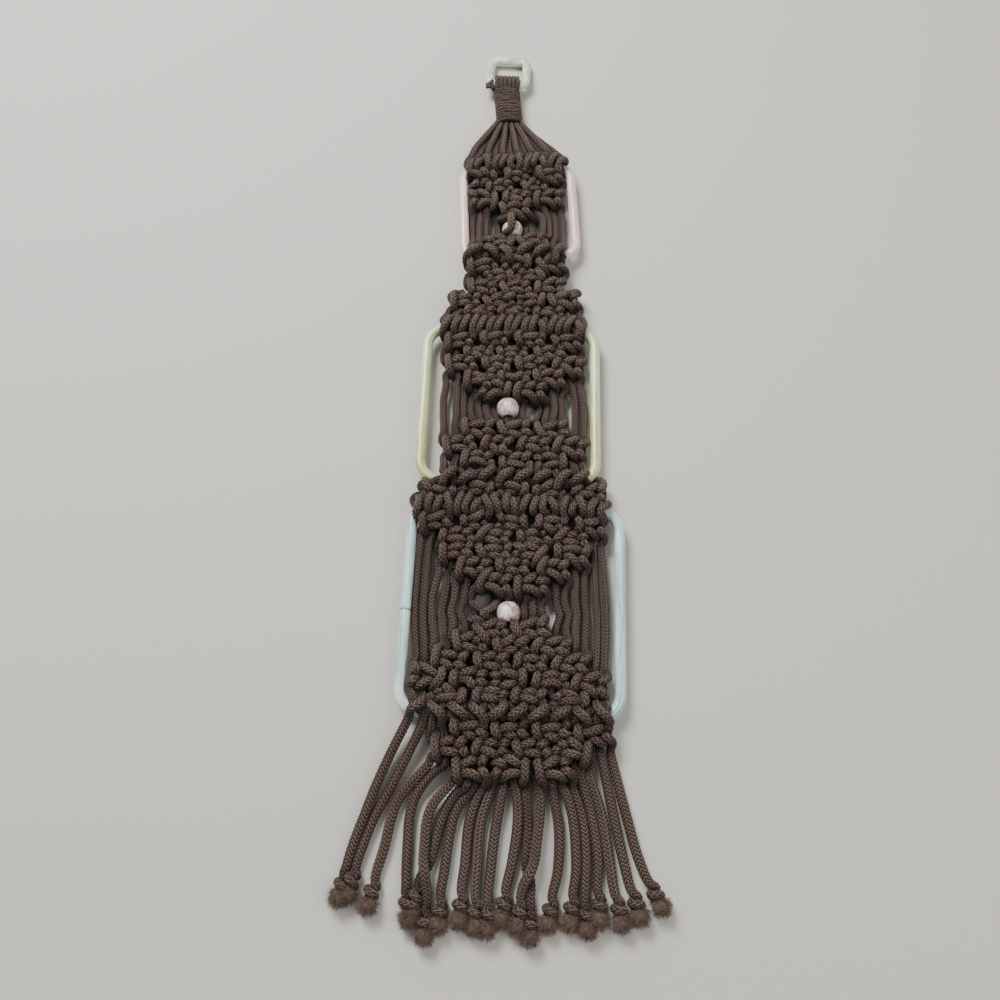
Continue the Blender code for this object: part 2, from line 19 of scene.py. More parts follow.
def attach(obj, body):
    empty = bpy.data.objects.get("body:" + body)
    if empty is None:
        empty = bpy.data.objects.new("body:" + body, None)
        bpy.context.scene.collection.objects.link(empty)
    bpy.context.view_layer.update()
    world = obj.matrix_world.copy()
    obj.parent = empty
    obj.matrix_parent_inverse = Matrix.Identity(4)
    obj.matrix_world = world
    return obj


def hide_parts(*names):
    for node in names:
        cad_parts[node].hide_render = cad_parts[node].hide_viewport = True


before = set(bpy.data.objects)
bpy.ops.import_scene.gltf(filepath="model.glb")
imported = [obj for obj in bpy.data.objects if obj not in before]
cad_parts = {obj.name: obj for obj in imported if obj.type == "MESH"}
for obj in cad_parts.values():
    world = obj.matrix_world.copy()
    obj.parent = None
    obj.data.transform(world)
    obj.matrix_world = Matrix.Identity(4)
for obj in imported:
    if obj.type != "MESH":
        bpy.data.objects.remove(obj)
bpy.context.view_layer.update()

bl_info = {
    "name": "Knotted Wall Hanging",
    "version": (1, 0, 0),
    "blender": (4, 5, 0),
    "location": "3D View > Sidebar > Hanging",
    "description": "Builds the cords, rings, beads and tufts of a knotted wall hanging",
    "category": "Add Mesh",
}

MM = 0.001

# The floor's level in metres.
FLOOR_Z = -0.0002

# The camera: its place on the plan, its right and up, and its picture's side in pixels,
# which is also its focal length in pixels.
CAMERA_PLACE = (-6.83, 18.88, 880.6)
CAMERA_RIGHT = (0.99998, -0.00080, -0.00560)
CAMERA_UP = (0.00289, 0.92257, 0.38580)
PICTURE_SIDE = 1000

# The middle of the hanging's outline on its plan.
MIDDLE_X = -11.8
MIDDLE_HEIGHT = 470.6

# Plastic rings: outer side, outer corner radius, x, height, z, turn and tilt in degrees.
TUBE = 10.0
RINGS = {
    "hanging_ring": (50.8, 13.0, -1.2, 915.6, 8.4, -4.0, -9.2),
    "ring_small": (127.0, 22.0, 8.9, 715.0, 12.5, 1.9, 0.0),
    "ring_middle": (177.8, 26.0, -2.0, 485.0, 12.5, -1.8, 0.0),
    "ring_large": (203.2, 26.0, 0.0, 277.0, 12.5, -2.4, 0.0),
}

# A ring's joint: its share of the way round, and how deep it is, as a share of the tube.
RING_JOINT = (0.405, 0.12)
NO_JOINT = (-1.0, 0.0)

# Beads: x and height. They are balls with a hole along the cords.
BEAD_RADIUS = 11.0
BEAD_BORE = 4.8
BEAD_Z = 11.2
BEADS = {
    "bead_top": (2.0, 693.0),
    "bead_middle": (-3.7, 479.5),
    "bead_bottom": (-3.9, 272.0),
}

# The net's centre line: height, x and the slope of its rows in degrees.
SPINE = (
    (835.0, -1.5, 0.0),
    (773.5, 5.6, 1.9),
    (656.5, 5.5, 1.9),
    (610.0, 4.5, 0.0),
    (569.0, 0.7, -1.8),
    (500.0, 2.4, -1.8),
    (401.0, 3.0, -1.8),
    (373.6, -1.8, -2.4),
    (345.0, 1.0, -2.4),
    (200.0, -4.0, -2.4),
    (129.0, -1.5, -1.0),
)

# Net sections: the ring they hang on, first cord, number of cords, spacing of the cords
# in the net and of their hitches over the ring's upper bar, and the hitches' shift.
CORDS = 20
NET_Z = 11.5
SECTIONS = {
    "net_top": ("ring_small", 4, 12, 8.5, 8.6, 0.9),
    "net_middle": ("ring_middle", 2, 16, 8.75, 8.6, 1.0),
    "net_bottom": ("ring_large", 0, 20, 8.75, 8.8, -0.9),
}

# How wide a cord looks in hitches, on lower bars, in the fringe and in the neck's loops,
# as a share of its width in the net.
HITCH_WIDTH = 0.97
BAR_WIDTH = 1.1
FRINGE_WIDTH = 1.17
LOOP_WIDTH = 0.63

# What a section's cords pass on their way down: rows of square knots by height, first
# cord, number of knots and distance between them; its window; its ring's lower bar.
STEPS = {
    "net_top": (
        (758.5, 0, 3, 34.0), (744.6, 2, 2, 34.0), (729.8, 0, 3, 34.0), (715.2, 4, 1, 33.0),
        "window", (670.0, 2, 2, 33.0), "bar", (644.8, 0, 3, 34.0), (629.8, 2, 2, 34.0),
        (614.5, 0, 3, 34.0), (599.0, -2, 4, 33.0), (583.8, 0, 3, 34.5),
    ),
    "net_middle": (
        (553.4, 0, 4, 35.0), (539.0, 2, 3, 35.0), (525.0, 0, 4, 35.0), (511.5, 2, 3, 34.0),
        (498.5, 4, 2, 31.0), "window", (451.0, 2, 3, 35.0), (436.0, 0, 4, 35.0),
        (420.8, 2, 3, 35.0), "bar", (388.8, -2, 5, 34.0),
    ),
    "net_bottom": (
        (357.6, 0, 5, 35.0), (343.0, 2, 4, 35.0), (327.6, 2, 4, 35.0), (313.6, 4, 3, 36.0),
        (299.8, 6, 2, 32.0), "window", (252.5, 6, 2, 33.0), (240.6, 4, 3, 35.0),
        (225.2, 2, 4, 35.0), (209.6, 0, 5, 35.0), (194.4, 2, 4, 35.0), "bar",
        (167.0, 4, 4, 35.0), (151.8, 2, 4, 35.0), (136.6, 4, 3, 35.0),
    ),
}

# Windows: height of the middle, length of a cord's open run, x of each cord at the
# middle, and how far it bows outward there.
WINDOWS = {
    "net_top": (
        695.0, 22.0,
        (-40.5, -33.0, -25.5, -14.0, 1.0, 2.0, 17.5, 26.5, 34.0, 41.0, 48.0, 55.0),
        (0.4, 0.8, 1.4, 2.4, 0.0, 0.0, 2.6, 2.0, 1.4, 0.8, 0.6, 0.4),
    ),
    "net_middle": (
        480.0, 20.0,
        (-67.0, -54.5, -47.2, -40.0, -32.6, -25.2, -17.2, -5.6,
         -1.8, 11.3, 27.6, 35.0, 42.4, 49.8, 62.6, 71.0),
        (0.2, 0.6, 1.2, 2.0, 2.8, 3.4, 2.6, 0.0,
         0.0, 1.6, 4.6, 3.6, 2.6, 1.4, 0.6, 0.2),
    ),
    "net_bottom": (
        272.0, 22.0,
        (-88.5, -80.8, -73.0, -64.0, -55.4, -47.2, -31.0, -24.0, -19.0, -6.0,
         -1.8, 10.4, 18.6, 26.4, 42.5, 50.4, 57.8, 66.2, 76.0, 83.4),
        (0.2, 0.6, 1.2, 2.6, 4.6, 6.4, 0.0, 0.0, 0.0, 0.0,
         0.0, 0.6, 1.6, 2.6, 6.0, 4.6, 2.6, 1.6, 0.6, 0.2),
    ),
}
WINDOW_Z = 8.2

# Three cords that twist round each other beside the lowest bead: x, above the middle, z.
TWIST = {
    ("net_bottom", 6): ((-38.0, 12.0, 8.0), (-30.0, 4.0, 13.5), (-23.5, -1.5, 14.5),
                        (-30.0, -8.5, 9.0)),
    ("net_bottom", 7): ((-22.5, 12.0, 8.0), (-22.5, 3.5, 8.0), (-33.5, -2.0, 8.2),
                        (-37.0, -9.0, 14.0)),
    ("net_bottom", 8): ((-15.5, 12.0, 7.6), (-18.0, 5.0, 14.0), (-28.5, -5.0, 15.5),
                        (-22.0, -12.0, 10.0)),
}

# Cords that pass a bead: through its hole, or across its face, with their z there.
THROUGH_BEADS = {("net_top", 5), ("net_middle", 7), ("net_middle", 8),
                 ("net_bottom", 9), ("net_bottom", 10)}
OVER_BEADS = {("net_top", 4): 25.6}

# Halves of a square knot's four cords, from the top to its middle: across, along and
# out of the net. The lower half mirrors the upper one. They are drawn for one spacing of
# the cords, and the fourth cord may be divided at one stop.
KNOT_SPACING = 8.75
KNOT_DIVIDE = 13
KNOT_HALVES = (
    ((-11.9, 7.65, 0.0), (-10.3, 5.4, -1.8), (-8.2, 3.0, 0.2), (-5.0, 2.9, 5.4),
     (-1.0, 3.9, 7.4), (3.2, 4.9, 7.0), (6.8, 5.4, 3.0), (9.2, 4.0, -1.0),
     (10.2, 0.0, -2.8)),
    ((-4.4, 7.65, 0.0), (-3.6, 4.0, -0.2), (-3.4, 0.0, 0.0)),
    ((4.4, 7.65, 0.0), (3.6, 4.0, -0.2), (3.4, 0.0, 0.0)),
    ((11.9, 7.65, 0.0), (10.2, 5.9, 5.0), (8.7, 2.8, 6.6), (6.6, 0.4, 2.0),
     (4.8, 0.8, -4.5), (0.0, 3.0, -7.2), (-4.8, 5.4, -5.0), (-7.9, 7.2, 0.4),
     (-9.5, 4.8, 6.2), (-9.9, 0.0, 8.0)),
)

# A hitch over a bar: across from the cord, along and out from the bar. The section's
# first stop lies behind the bar.
HITCH = (
    (-1.2, 7.8, 3.6), (-2.9, 4.2, 7.4), (-3.1, -0.6, 8.4), (-1.6, -4.6, 5.4),
    (0.2, -7.0, -1.2), (1.3, -3.5, -7.6), (2.6, 3.4, -7.4), (3.6, 7.4, -1.0),
    (3.2, 5.8, 6.4), (1.2, 1.6, 11.2), (-1.6, -2.2, 11.6), (-2.8, -5.2, 8.0),
)
HITCH_START = 5

# Two cords crossing in front of a lower bar: the share of the way across, along and out
# from the bar, over and under.
CROSSING = (
    ((-0.10, 6.2, 6.6), (0.12, 2.4, 11.6), (0.5, 0.0, 13.8), (0.88, -2.4, 11.6),
     (1.10, -6.2, 6.8)),
    ((-0.10, 6.0, 6.4), (0.10, 2.4, 8.6), (0.5, 0.0, 8.8), (0.90, -2.4, 8.6),
     (1.10, -6.0, 6.4)),
)

# Gaps between the knots that stay open: column and row in the picture, as picked in the
# photograph, and radius in millimetres at the level below. They open towards the
# camera.
HOLES = (
    (501, 173.5, 3.2), (532, 172, 3.2), (474, 178, 2.0), (520, 188, 1.6),
    (534, 228, 3.4), (477.5, 343.4, 2.6), (512.2, 342.9, 2.8), (548, 342, 2.8),
    (482.7, 372, 2.0), (514, 371, 2.0), (531, 411, 3.2), (510, 447.5, 2.0),
    (475, 467, 2.4), (456.4, 521.7, 2.4), (493.9, 520.3, 2.6), (531.4, 520.3, 2.6),
    (571.7, 524.4, 2.8), (513.3, 539, 2.2), (487, 598, 3.0), (461, 683, 2.4),
    (552, 690, 2.2),
)
HOLE_LEVEL = 15.0
HOLES_OPEN_TO = tuple(round(value, 1) for value in CAMERA_PLACE)

# Painted shade on the cords in the windows: a cord whose top is below the first number,
# between two heights, is shaded as though it lay this much further down.
WINDOW_SHADE = (17.0, 165.0, 770.0, 2.9)

# The neck: loops over the hanging ring's lower bar, bundle, gathering cord and fan.
LOOP_X = -2.6
LOOP_SPACING = 4.6
LOOP_BAR = (895.3, 11.5)
NECK_X = -3.3
NECK_SPACING = 3.6
NECK_CORDS = 12
NECK_MIDDLE = (NECK_CORDS / 2 - 1) / 2
FAN = (
    # height, x of the first cord, x of the last cord, front z, back z, width share
    (836.5, -13.6, 13.8, 14.8, 8.6, 0.72),
    (825.0, -21.6, 23.8, 15.0, 8.8, 0.84),
    (811.0, -30.8, 35.4, 14.8, 10.4, 0.98),
    (797.0, -39.2, 46.6, 14.2, 12.2, 1.08),
    (786.0, -41.0, 53.4, 14.6, 13.8, 1.08),
)
WRAP_TOP = 883.0
WRAP_TURNS = 12
WRAP_PITCH = 3.92
WRAP_LEAN = 0.26
WRAP_HALF_WIDTH = 12.7
WRAP_HALF_DEPTH = 8.8
WRAP_Z = 11.2
WRAP_SQUARENESS = 0.78
TAIL_PLACE = (-21.5, 892.5, 12.0)

# Painted shade in the gathering cord's grooves between its turns: how dark on its centre
# line, and less for each metre out from it.
GROOVE_DEPTH = 1.9
GROOVE_FADE = 930.0

# Shoulders, where a folded cord joins the net's edge: the section and row of the first
# knot that its two ends take part in, the outer and the inner end, and its side.
SHOULDERS = (
    ("net_top", 10, 2, 3, -1),
    ("net_top", 10, 17, 16, 1),
    ("net_middle", 10, 0, 1, -1),
    ("net_middle", 10, 19, 18, 1),
)

# The fringe: places of each cord's bends and of its end knot, with the z of its bends.
FRINGE = (
    ((-110.0, 138.0, 8.5), (-124.5, 100.0, 7.5), (-140.5, 44.0, 7.0)),
    ((-103.0, 124.0, 4.4), (-120.5, 90.0, 4.4), (-134.0, 47.0, 7.0)),
    ((-97.0, 112.0, 4.4), (-108.0, 72.0, 4.4), (-116.5, 38.5, 7.0)),
    ((-84.0, 112.0, 4.6), (-88.5, 72.0, 4.4), (-86.5, 29.0, 7.0)),
    ((-70.0, 103.0, 9.0), (-73.5, 58.0, 8.4), (-73.0, 15.8, 7.5)),
    ((-58.0, 102.0, 4.6), (-69.0, 66.0, 4.4), (-80.5, 34.0, 7.0)),
    ((-49.5, 100.0, 4.6), (-57.5, 55.0, 4.4), (-61.0, 24.0, 7.0)),
    ((-37.0, 95.0, 4.6), (-40.5, 60.0, 4.4), (-43.9, 28.0, 7.2)),
    ((-27.0, 95.0, 4.6), (-30.5, 58.0, 4.4), (-31.5, 23.0, 7.0)),
    ((-15.0, 90.0, 5.0), (-19.5, 55.0, 4.6), (-22.0, 21.0, 7.4)),
    ((3.2, 95.0, 8.5), (-1.5, 62.0, 5.5), (-9.0, 29.0, 7.0)),
    ((11.5, 90.0, 4.6), (11.5, 50.0, 4.4), (11.5, 15.0, 7.0)),
    ((21.5, 98.0, 8.5), (15.5, 64.0, 8.0), (4.5, 23.0, 8.5)),
    ((37.2, 90.0, 4.6), (35.8, 55.0, 4.4), (28.6, 24.0, 7.0)),
    ((50.0, 100.0, 7.0), (52.5, 60.0, 5.0), (46.0, 25.5, 7.0)),
    ((55.5, 95.0, 4.6), (57.8, 55.0, 4.4), (58.5, 20.5, 7.0)),
    ((64.5, 100.0, 4.6), (69.0, 65.0, 4.4), (68.0, 28.0, 8.0)),
    ((73.0, 100.0, 4.6), (78.5, 60.0, 4.4), (84.5, 25.0, 7.0)),
    ((82.0, 105.0, 4.6), (90.0, 62.0, 4.4), (98.5, 29.5, 7.0)),
    ((92.5, 105.0, 4.6), (102.5, 64.0, 4.4), (114.5, 36.5, 7.0)),
)

# The knot at the end of each fringe cord.
END_KNOT_RADIUS = 4.0

# Columns of strands round the braided cord.
BRAID_STRANDS = 8

# The pieces of cordage, each named after the CAD node that it stands for.
CORD_PIECES = ("fan_cords", "net_top", "net_middle", "net_bottom", "fringe")


def length(name, description, default):
    """A length that can be set, in metres."""
    return FloatProperty(name=name, description=description, default=default, unit="LENGTH")


def amount(name, description, default):
    """A plain number that can be set."""
    return FloatProperty(name=name, description=description, default=default)


def whole_number(name, description, default, least=0):
    """A whole number that can be set."""
    return IntProperty(name=name, description=description, default=default, min=least)


def colour(name, description, default):
    """A colour that can be set."""
    return FloatVectorProperty(
        name=name, description=description, default=default, size=3, subtype="COLOR",
    )


class CordSettings(bpy.types.PropertyGroup):
    """Sizes and colours of the cord."""

    net_width: length("Net cord", "Width of the cord in the net", 0.0073)
    wrap_width: length("Gathering cord", "Width of the cord around the neck", 0.0040)
    sides: whole_number("Sides", "Sides of a cord's section", 12, 6)
    strand: length("Strand", "Length of one visible stretch of a braid strand", 0.0033)
    relief: length("Relief", "Height of the braid's strands", 0.00034)
    # The strands' colours hold painted light and shade: the top colour is the cord's brown with
    # a painted highlight, the crevice colour is painted shade.
    light: colour("Strands", "Colour on top of the braid's strands", (0.124, 0.081, 0.062))
    dark: colour("Crevices", "Colour between the braid's strands", (0.014, 0.007, 0.005))
    seed: whole_number("Seed", "Seed of the knots' small differences", 11)


class TuftSettings(bpy.types.PropertyGroup):
    """Sizes and colour of the brushed-out ends."""

    fibres: whole_number("Fibres", "Fibres in one tuft", 560, 10)
    length: length("Length", "Length of a fibre", 0.0054)
    width: length("Fibre width", "Width of a fibre", 0.00032)
    core: length("Core", "Radius of a tuft's matted core", 0.0066)
    colour: colour("Fibre colour", "Colour of the brushed-out fibres", (0.150, 0.098, 0.072))
    seed: whole_number("Seed", "Seed of the fibres' lie", 5)


class PlasticSettings(bpy.types.PropertyGroup):
    """Colours of the marbled rings and beads."""

    hanging_ring: colour("Hanging ring", "Colour of the hanging ring", (0.60, 0.74, 0.56))
    ring_small: colour("Small ring", "Colour of the small ring", (0.86, 0.60, 0.57))
    ring_middle: colour("Middle ring", "Colour of the middle ring", (0.62, 0.70, 0.32))
    ring_large: colour("Large ring", "Colour of the large ring", (0.55, 0.76, 0.72))
    bead: colour("Beads", "Colour of the beads", (0.84, 0.70, 0.63))
    ring_sides: whole_number("Ring sides", "Sides of a ring's tube", 20, 8)


class StageSettings(bpy.types.PropertyGroup):
    """The floor and the light."""

    floor_size: length("Floor", "Side of the floor", 8.0)
    floor_colour: colour("Floor colour", "Colour of the floor", (0.62, 0.59, 0.545))
    key_power: amount("Key light", "Power of the large soft light, in watts", 82.0)
    fill_power: amount("Fill light", "Power of the fill light, in watts", 18.0)
    sky: amount("Sky", "Strength of the even light around", 0.40)


def to_frame(x, height, z):
    """A place on the plan, in millimetres, as a place in the frame, in metres."""
    return Vector((x - MIDDLE_X, height - MIDDLE_HEIGHT, z)) * MM


def camera_axes():
    """The camera's right, up and back."""
    right, up = Vector(CAMERA_RIGHT), Vector(CAMERA_UP)
    back = right.cross(up).normalized()
    return right.normalized(), back.cross(right).normalized(), back


def seen_place(column, row, z):
    """The x and height, to a tenth, that a pixel of the picture shows at a z."""
    right, up, back = camera_axes()
    way = right * (column / PICTURE_SIDE - 0.5) - up * (row / PICTURE_SIDE - 0.5) - back
    spot = Vector(CAMERA_PLACE) + way * ((z - CAMERA_PLACE[2]) / way.z)
    return round(spot.x, 1), round(spot.y, 1)


def spine_at(height):
    """The centre line's x and the rows' slope at a height."""
    if height >= SPINE[0][0]:
        return SPINE[0][1], math.tan(math.radians(SPINE[0][2]))
    for upper, lower in zip(SPINE, SPINE[1:]):
        if height >= lower[0]:
            share = (height - lower[0]) / (upper[0] - lower[0])
            x = lower[1] + share * (upper[1] - lower[1])
            angle = lower[2] + share * (upper[2] - lower[2])
            return x, math.tan(math.radians(angle))
    return SPINE[-1][1], math.tan(math.radians(SPINE[-1][2]))


def bar_height(ring, x, side):
    """Height of a ring's upper (1) or lower (-1) bar at x, with its round corners."""
    outer, corner, ring_x, ring_height, _, turn, _ = RINGS[ring]
    half = (outer - TUBE) / 2
    bend = corner - TUBE / 2
    beyond = min(max(abs(x - ring_x) - (half - bend), 0.0), bend * 0.98)
    drop = bend - math.sqrt(bend * bend - beyond * beyond)
    return ring_height + side * (half - drop) + math.tan(math.radians(turn)) * (x - ring_x)


# How the cords settle: the share of their widths at which they stop pressing, how much
# they give way at a time, the longest move, how much of a bend is evened out, how much of
# the change is kept, how closely they lie on plastic, how far it moves them at a time, and
# their gap over the surface.
PRESS_SHARE = 0.95
GIVE = 0.3
LONGEST_MOVE = 0.7
EVENING = 0.5
KEPT_CHANGE = 0.996
PLASTIC_SHARE = 0.94
PLASTIC_MOVE = 1.2
SURFACE_GAP = 0.45


# ---------------------------------------------------------------- routes of the cords
# A stop is (x, height, z, width share, kind). Kinds: "join" between two knots, "hitch"
# over an upper bar, "bar" before a lower one, "hidden" where a cord may be divided out of
# sight, and the name of the piece that starts there.


def row_centres(section, first, knots, distance):
    """Distances of a row's knots from the net's centre line."""
    _, _, cords, spacing, *_ = SECTIONS[section]
    middle = (first + 2 * knots - 0.5 - (cords - 1) / 2) * spacing
    return [middle + (k - (knots - 1) / 2) * distance for k in range(knots)]


def knot_shake(seed, section, row, knot):
    """Small differences of one knot: shift, turn, size and whether it is mirrored."""
    source = random.Random(f"{seed} {section} {row} {knot}")
    shift = source.uniform(-1.0, 1.0), source.uniform(-0.8, 0.8), source.uniform(-0.6, 1.2)
    turn = math.radians(source.uniform(-13, 13))
    return shift, turn, source.uniform(0.93, 1.02), source.random() < 0.15


def knot_stops(seed, section, row, step, role, knot):
    """The stops of one cord through a square knot, from top to bottom."""
    height, first, knots, distance = step
    place = row_centres(section, first, knots, distance)[knot]
    shift, turn, size, mirrored = knot_shake(seed, section, row, knot)
    x, slope = spine_at(height)
    spacing = SECTIONS[section][3] / KNOT_SPACING
    centre_x, centre_height = x + place + shift[0], height + slope * place + shift[1]
    turn += math.atan(slope)
    side = -1 if mirrored else 1
    if mirrored:
        role = 3 - role
    half = KNOT_HALVES[role]
    lower = [(across, -along, out) for across, along, out in reversed(half[:-1])]
    stops = []
    whole = list(half) + lower
    for index, (across, along, out) in enumerate(whole):
        across, along = side * across * size * spacing, along * size
        sx = centre_x + across * math.cos(turn) - along * math.sin(turn)
        sy = centre_height + across * math.sin(turn) + along * math.cos(turn)
        kind = ""
        if index in (0, len(whole) - 1):
            kind = "join"
        elif role == 3 and index == KNOT_DIVIDE or role != 3 and index == len(half) - 1:
            kind = "hidden"
        stops.append((sx, sy, NET_Z + out + shift[2], 1.0, kind))
    return stops


def hitch_stops(seed, section, index):
    """The stops of one cord over its ring's upper bar; the next piece starts behind."""
    ring, _, cords, _, spacing, shift = SECTIONS[section]
    source = random.Random(f"{seed} hitch {section} {index}")
    top = RINGS[ring][3] + RINGS[ring][0] / 2
    x = spine_at(top)[0] + shift + (index - (cords - 1) / 2) * spacing
    x += source.uniform(-0.4, 0.4)
    size = source.uniform(0.92, 1.06)
    lean = source.uniform(0.7, 1.2) * (-1 if source.random() < 0.3 else 1)
    stops = []
    for number, (across, along, out) in enumerate(HITCH):
        across *= lean
        height = bar_height(ring, x + across, 1)
        kind = section if number == HITCH_START else "hitch"
        z = RINGS[ring][4] + out * size
        stops.append((x + across * size, height + along, z, HITCH_WIDTH, kind))
    return stops


def window_stops(section, index):
    """The stops of one plain cord through its section's window."""
    middle, run, places, bows = WINDOWS[section]
    x = places[index]
    spine_x, slope = spine_at(middle)
    height = middle + slope * (x - spine_x)
    if (section, index) in THROUGH_BEADS:
        single = section == "net_top"
        width = 0.9 if single else 0.58
        return [
            (x, height + BEAD_RADIUS + 1, BEAD_Z, width, ""),
            (x, height - BEAD_RADIUS - 1, BEAD_Z, width, ""),
        ]
    if (section, index) in OVER_BEADS:
        z = OVER_BEADS[section, index]
        return [
            (x, height + 10, z - 4.5, 1.1, ""), (x, height, z, 1.2, ""),
            (x, height - 10, z - 4.5, 1.1, ""),
        ]
    if (section, index) in TWIST:
        return [(a, middle + up, z, 0.96, "") for a, up, z in TWIST[section, index]]
    wander = math.sin(index * 2.4) * 0.6
    end = x - math.copysign(bows[index] * 0.55, x - BEADS["bead_top"][0])
    z = WINDOW_Z + math.sin(index * 1.7) * 1.2
    return [
        (end + wander, height + run / 2, z + 0.6, 1.0, ""), (x, height, z, 1.0, ""),
        (end, height - run / 2, z + 0.6, 1.0, ""),
    ]


def bar_stops(seed, section, index):
    """The stops of one cord in front of its ring's lower bar, changing places in pairs."""
    ring, _, cords, spacing, *_ = SECTIONS[section]
    low = RINGS[ring][3] - RINGS[ring][0] / 2
    middle = spine_at(low)[0] - (cords - 1) / 2 * spacing
    start, end = middle + index * spacing, middle + (index ^ 1) * spacing
    source = random.Random(f"{seed} bar {section} {index // 2}")
    over = source.random() < 0.5
    shift, rise = source.uniform(-0.7, 0.7), source.uniform(-1.5, 1.5)
    crossing = CROSSING[0] if (index % 2 == 0) == over else CROSSING[1]
    stops = []
    for share, along, out in crossing:
        x = start + share * (end - start) + shift
        height = bar_height(ring, x, -1) + along + rise
        stops.append((x, height, RINGS[ring][4] + out, BAR_WIDTH, "bar"))
    return stops


def section_stops(seed, section, index):
    """All stops of one cord in its net section, and its place at the section's end."""
    stops = hitch_stops(seed, section, index)
    for row, step in enumerate(STEPS[section]):
        if step == "window":
            stops += window_stops(section, index)
        elif step == "bar":
            stops += bar_stops(seed, section, index)
            index ^= 1
        else:
            knot, role = divmod(index - step[1], 4)
            if 0 <= knot < step[2]:
                stops += knot_stops(seed, section, row, step, role, knot)
    return stops, index


def neck_stops(index):
    """The stops of one of the neck's cords from its loop down to the hitches."""
    column, back = divmod(index, 2)
    x = LOOP_X + (column - NECK_MIDDLE) * LOOP_SPACING
    bar, z = LOOP_BAR
    bar += math.tan(math.radians(RINGS["hanging_ring"][5])) * (x - LOOP_X)
    radius = TUBE / 2 + 2.5
    stops = [(x, bar + radius * 0.4, z - radius * 0.93, LOOP_WIDTH, "fan_cords")]
    if not back:
        stops += [
            (x, bar + radius, z + 0.3, LOOP_WIDTH, ""),
            (x, bar + 1.0, z + radius, LOOP_WIDTH, ""),
        ]
    side = -1 if back else 1
    stops.append((x, bar - 6.5, z + side * 6.0, LOOP_WIDTH, ""))
    x = NECK_X + (column - NECK_MIDDLE) * NECK_SPACING
    stops += [
        (x, 881.0, z + side * 2.6, LOOP_WIDTH, ""),
        (x + 1.5, 860.0, z + side * 2.5, LOOP_WIDTH, ""),
        (x + 3.0, 843.0, z + side * 2.6, LOOP_WIDTH * 1.03, ""),
    ]
    share = index / (NECK_CORDS - 1)
    for height, first, last, front_z, back_z, width in FAN:
        x = first + share * (last - first)
        stops.append((x, height, back_z if back else front_z, width, ""))
    return stops


def shoulder_stops(cord, seed):
    """The stops of a cord that joins the net at its edge, through its first knot."""
    for number, (section, row, outer, inner, side) in enumerate(SHOULDERS):
        if cord not in (outer, inner):
            continue
        step = STEPS[section][row]
        knot, role = divmod(cord - SECTIONS[section][1] - step[1], 4)
        through = knot_stops(seed, section, row, step, role, knot)
        owner = "net_middle" if number < 2 else "net_bottom"
        middle_x = spine_at(step[0])[0] + row_centres(section, *step[1:])[knot]
        edge = middle_x + side * 8.5
        height = step[0]
        out = side if cord == outer else -side
        start = [
            (edge - side * 5.0, height + 8.5, 4.6, 0.9, owner),
            (edge - side * 2.0, height + 12.6, 7.0, 0.95, ""),
            (edge + out * 2.2, height + 12.0, 12.4, 1.0, ""),
            (edge + out * 4.0, height + 8.8, 12.8, 1.0, ""),
        ]
        return start + through[1:]
    raise ValueError(f"cord {cord} has no start")


def end_knot_stops(place, along):
    """The stops of the knot at a fringe cord's end: one and a half turns round it."""
    across = Vector((along.y, -along.x, 0.0))
    stops = [(*(place - along * 9.5 + Vector((0, 0, -2.5))), 1.05, "")]
    turns = 9
    for number in range(turns + 1):
        angle = math.radians(200 + 470 * number / turns)
        shift = -4.4 + 8.8 * number / turns
        spot = place + along * shift + across * END_KNOT_RADIUS * math.cos(angle)
        spot.z += END_KNOT_RADIUS * math.sin(angle)
        stops.append((*spot, 0.90, ""))
    stops.append((*(place + along * 8.5), 0.80, ""))
    stops.append((*(place + along * 12.0), 0.70, ""))
    return stops


def fringe_lie(cord):
    """Where a fringe cord's end knot sits and which way its end points."""
    bend, knot = Vector(FRINGE[cord][1]), Vector(FRINGE[cord][2])
    along = knot - bend
    along.z = 0.0
    return knot, along.normalized()


def fringe_stops(cord):
    """The stops of one cord's free end, with its end knot."""
    upper, lower, _ = FRINGE[cord]
    stops = [(*upper, FRINGE_WIDTH, ""), (*lower, FRINGE_WIDTH, "")]
    return stops + end_knot_stops(*fringe_lie(cord))


def tidy_route(stops):
    """Merge or drop the joins that lie too near a bar, a hitch or each other."""
    firm = [stop for stop in stops if stop[4] in ("bar", "hitch")]
    kept = []
    for stop in stops:
        if stop[4] == "join":
            if any(abs(stop[1] - other[1]) < 8.2 for other in firm):
                continue
            if kept and kept[-1][4] == "join" and abs(kept[-1][1] - stop[1]) < 6:
                last = kept.pop()
                middle = [(a + b) / 2 for a, b in zip(last[:4], stop[:4])]
                stop = (*middle, "join")
        if kept and kept[-1][4] == "hitch" and stop[4] == "":
            if stop[1] > kept[-1][1] + 0.5 and stop[1] < kept[-1][1] + 6:
                continue
        kept.append(stop)
    return kept


def cord_route(cord, seed):
    """All stops of one cord, from its start to its end, and its place in the fringe."""
    stops, place = [], cord
    for section, (_, first, cords, *_) in SECTIONS.items():
        if not 0 <= cord - first < cords:
            continue
        joined = not stops and section != "net_top"
        if joined:
            stops = shoulder_stops(cord, seed)
        elif not stops:
            stops = neck_stops(cord - first)
        part, place = section_stops(seed, section, place - first)
        place += first
        if joined:
            part = [(*stop[:4], "hitch" if stop[4] == section else stop[4]) for stop in part]
        stops += part
    last = max(i for i, stop in enumerate(stops) if stop[4] in ("hidden", "bar"))
    stops[last] = (*stops[last][:4], "fringe")
    return tidy_route(stops + fringe_stops(place))


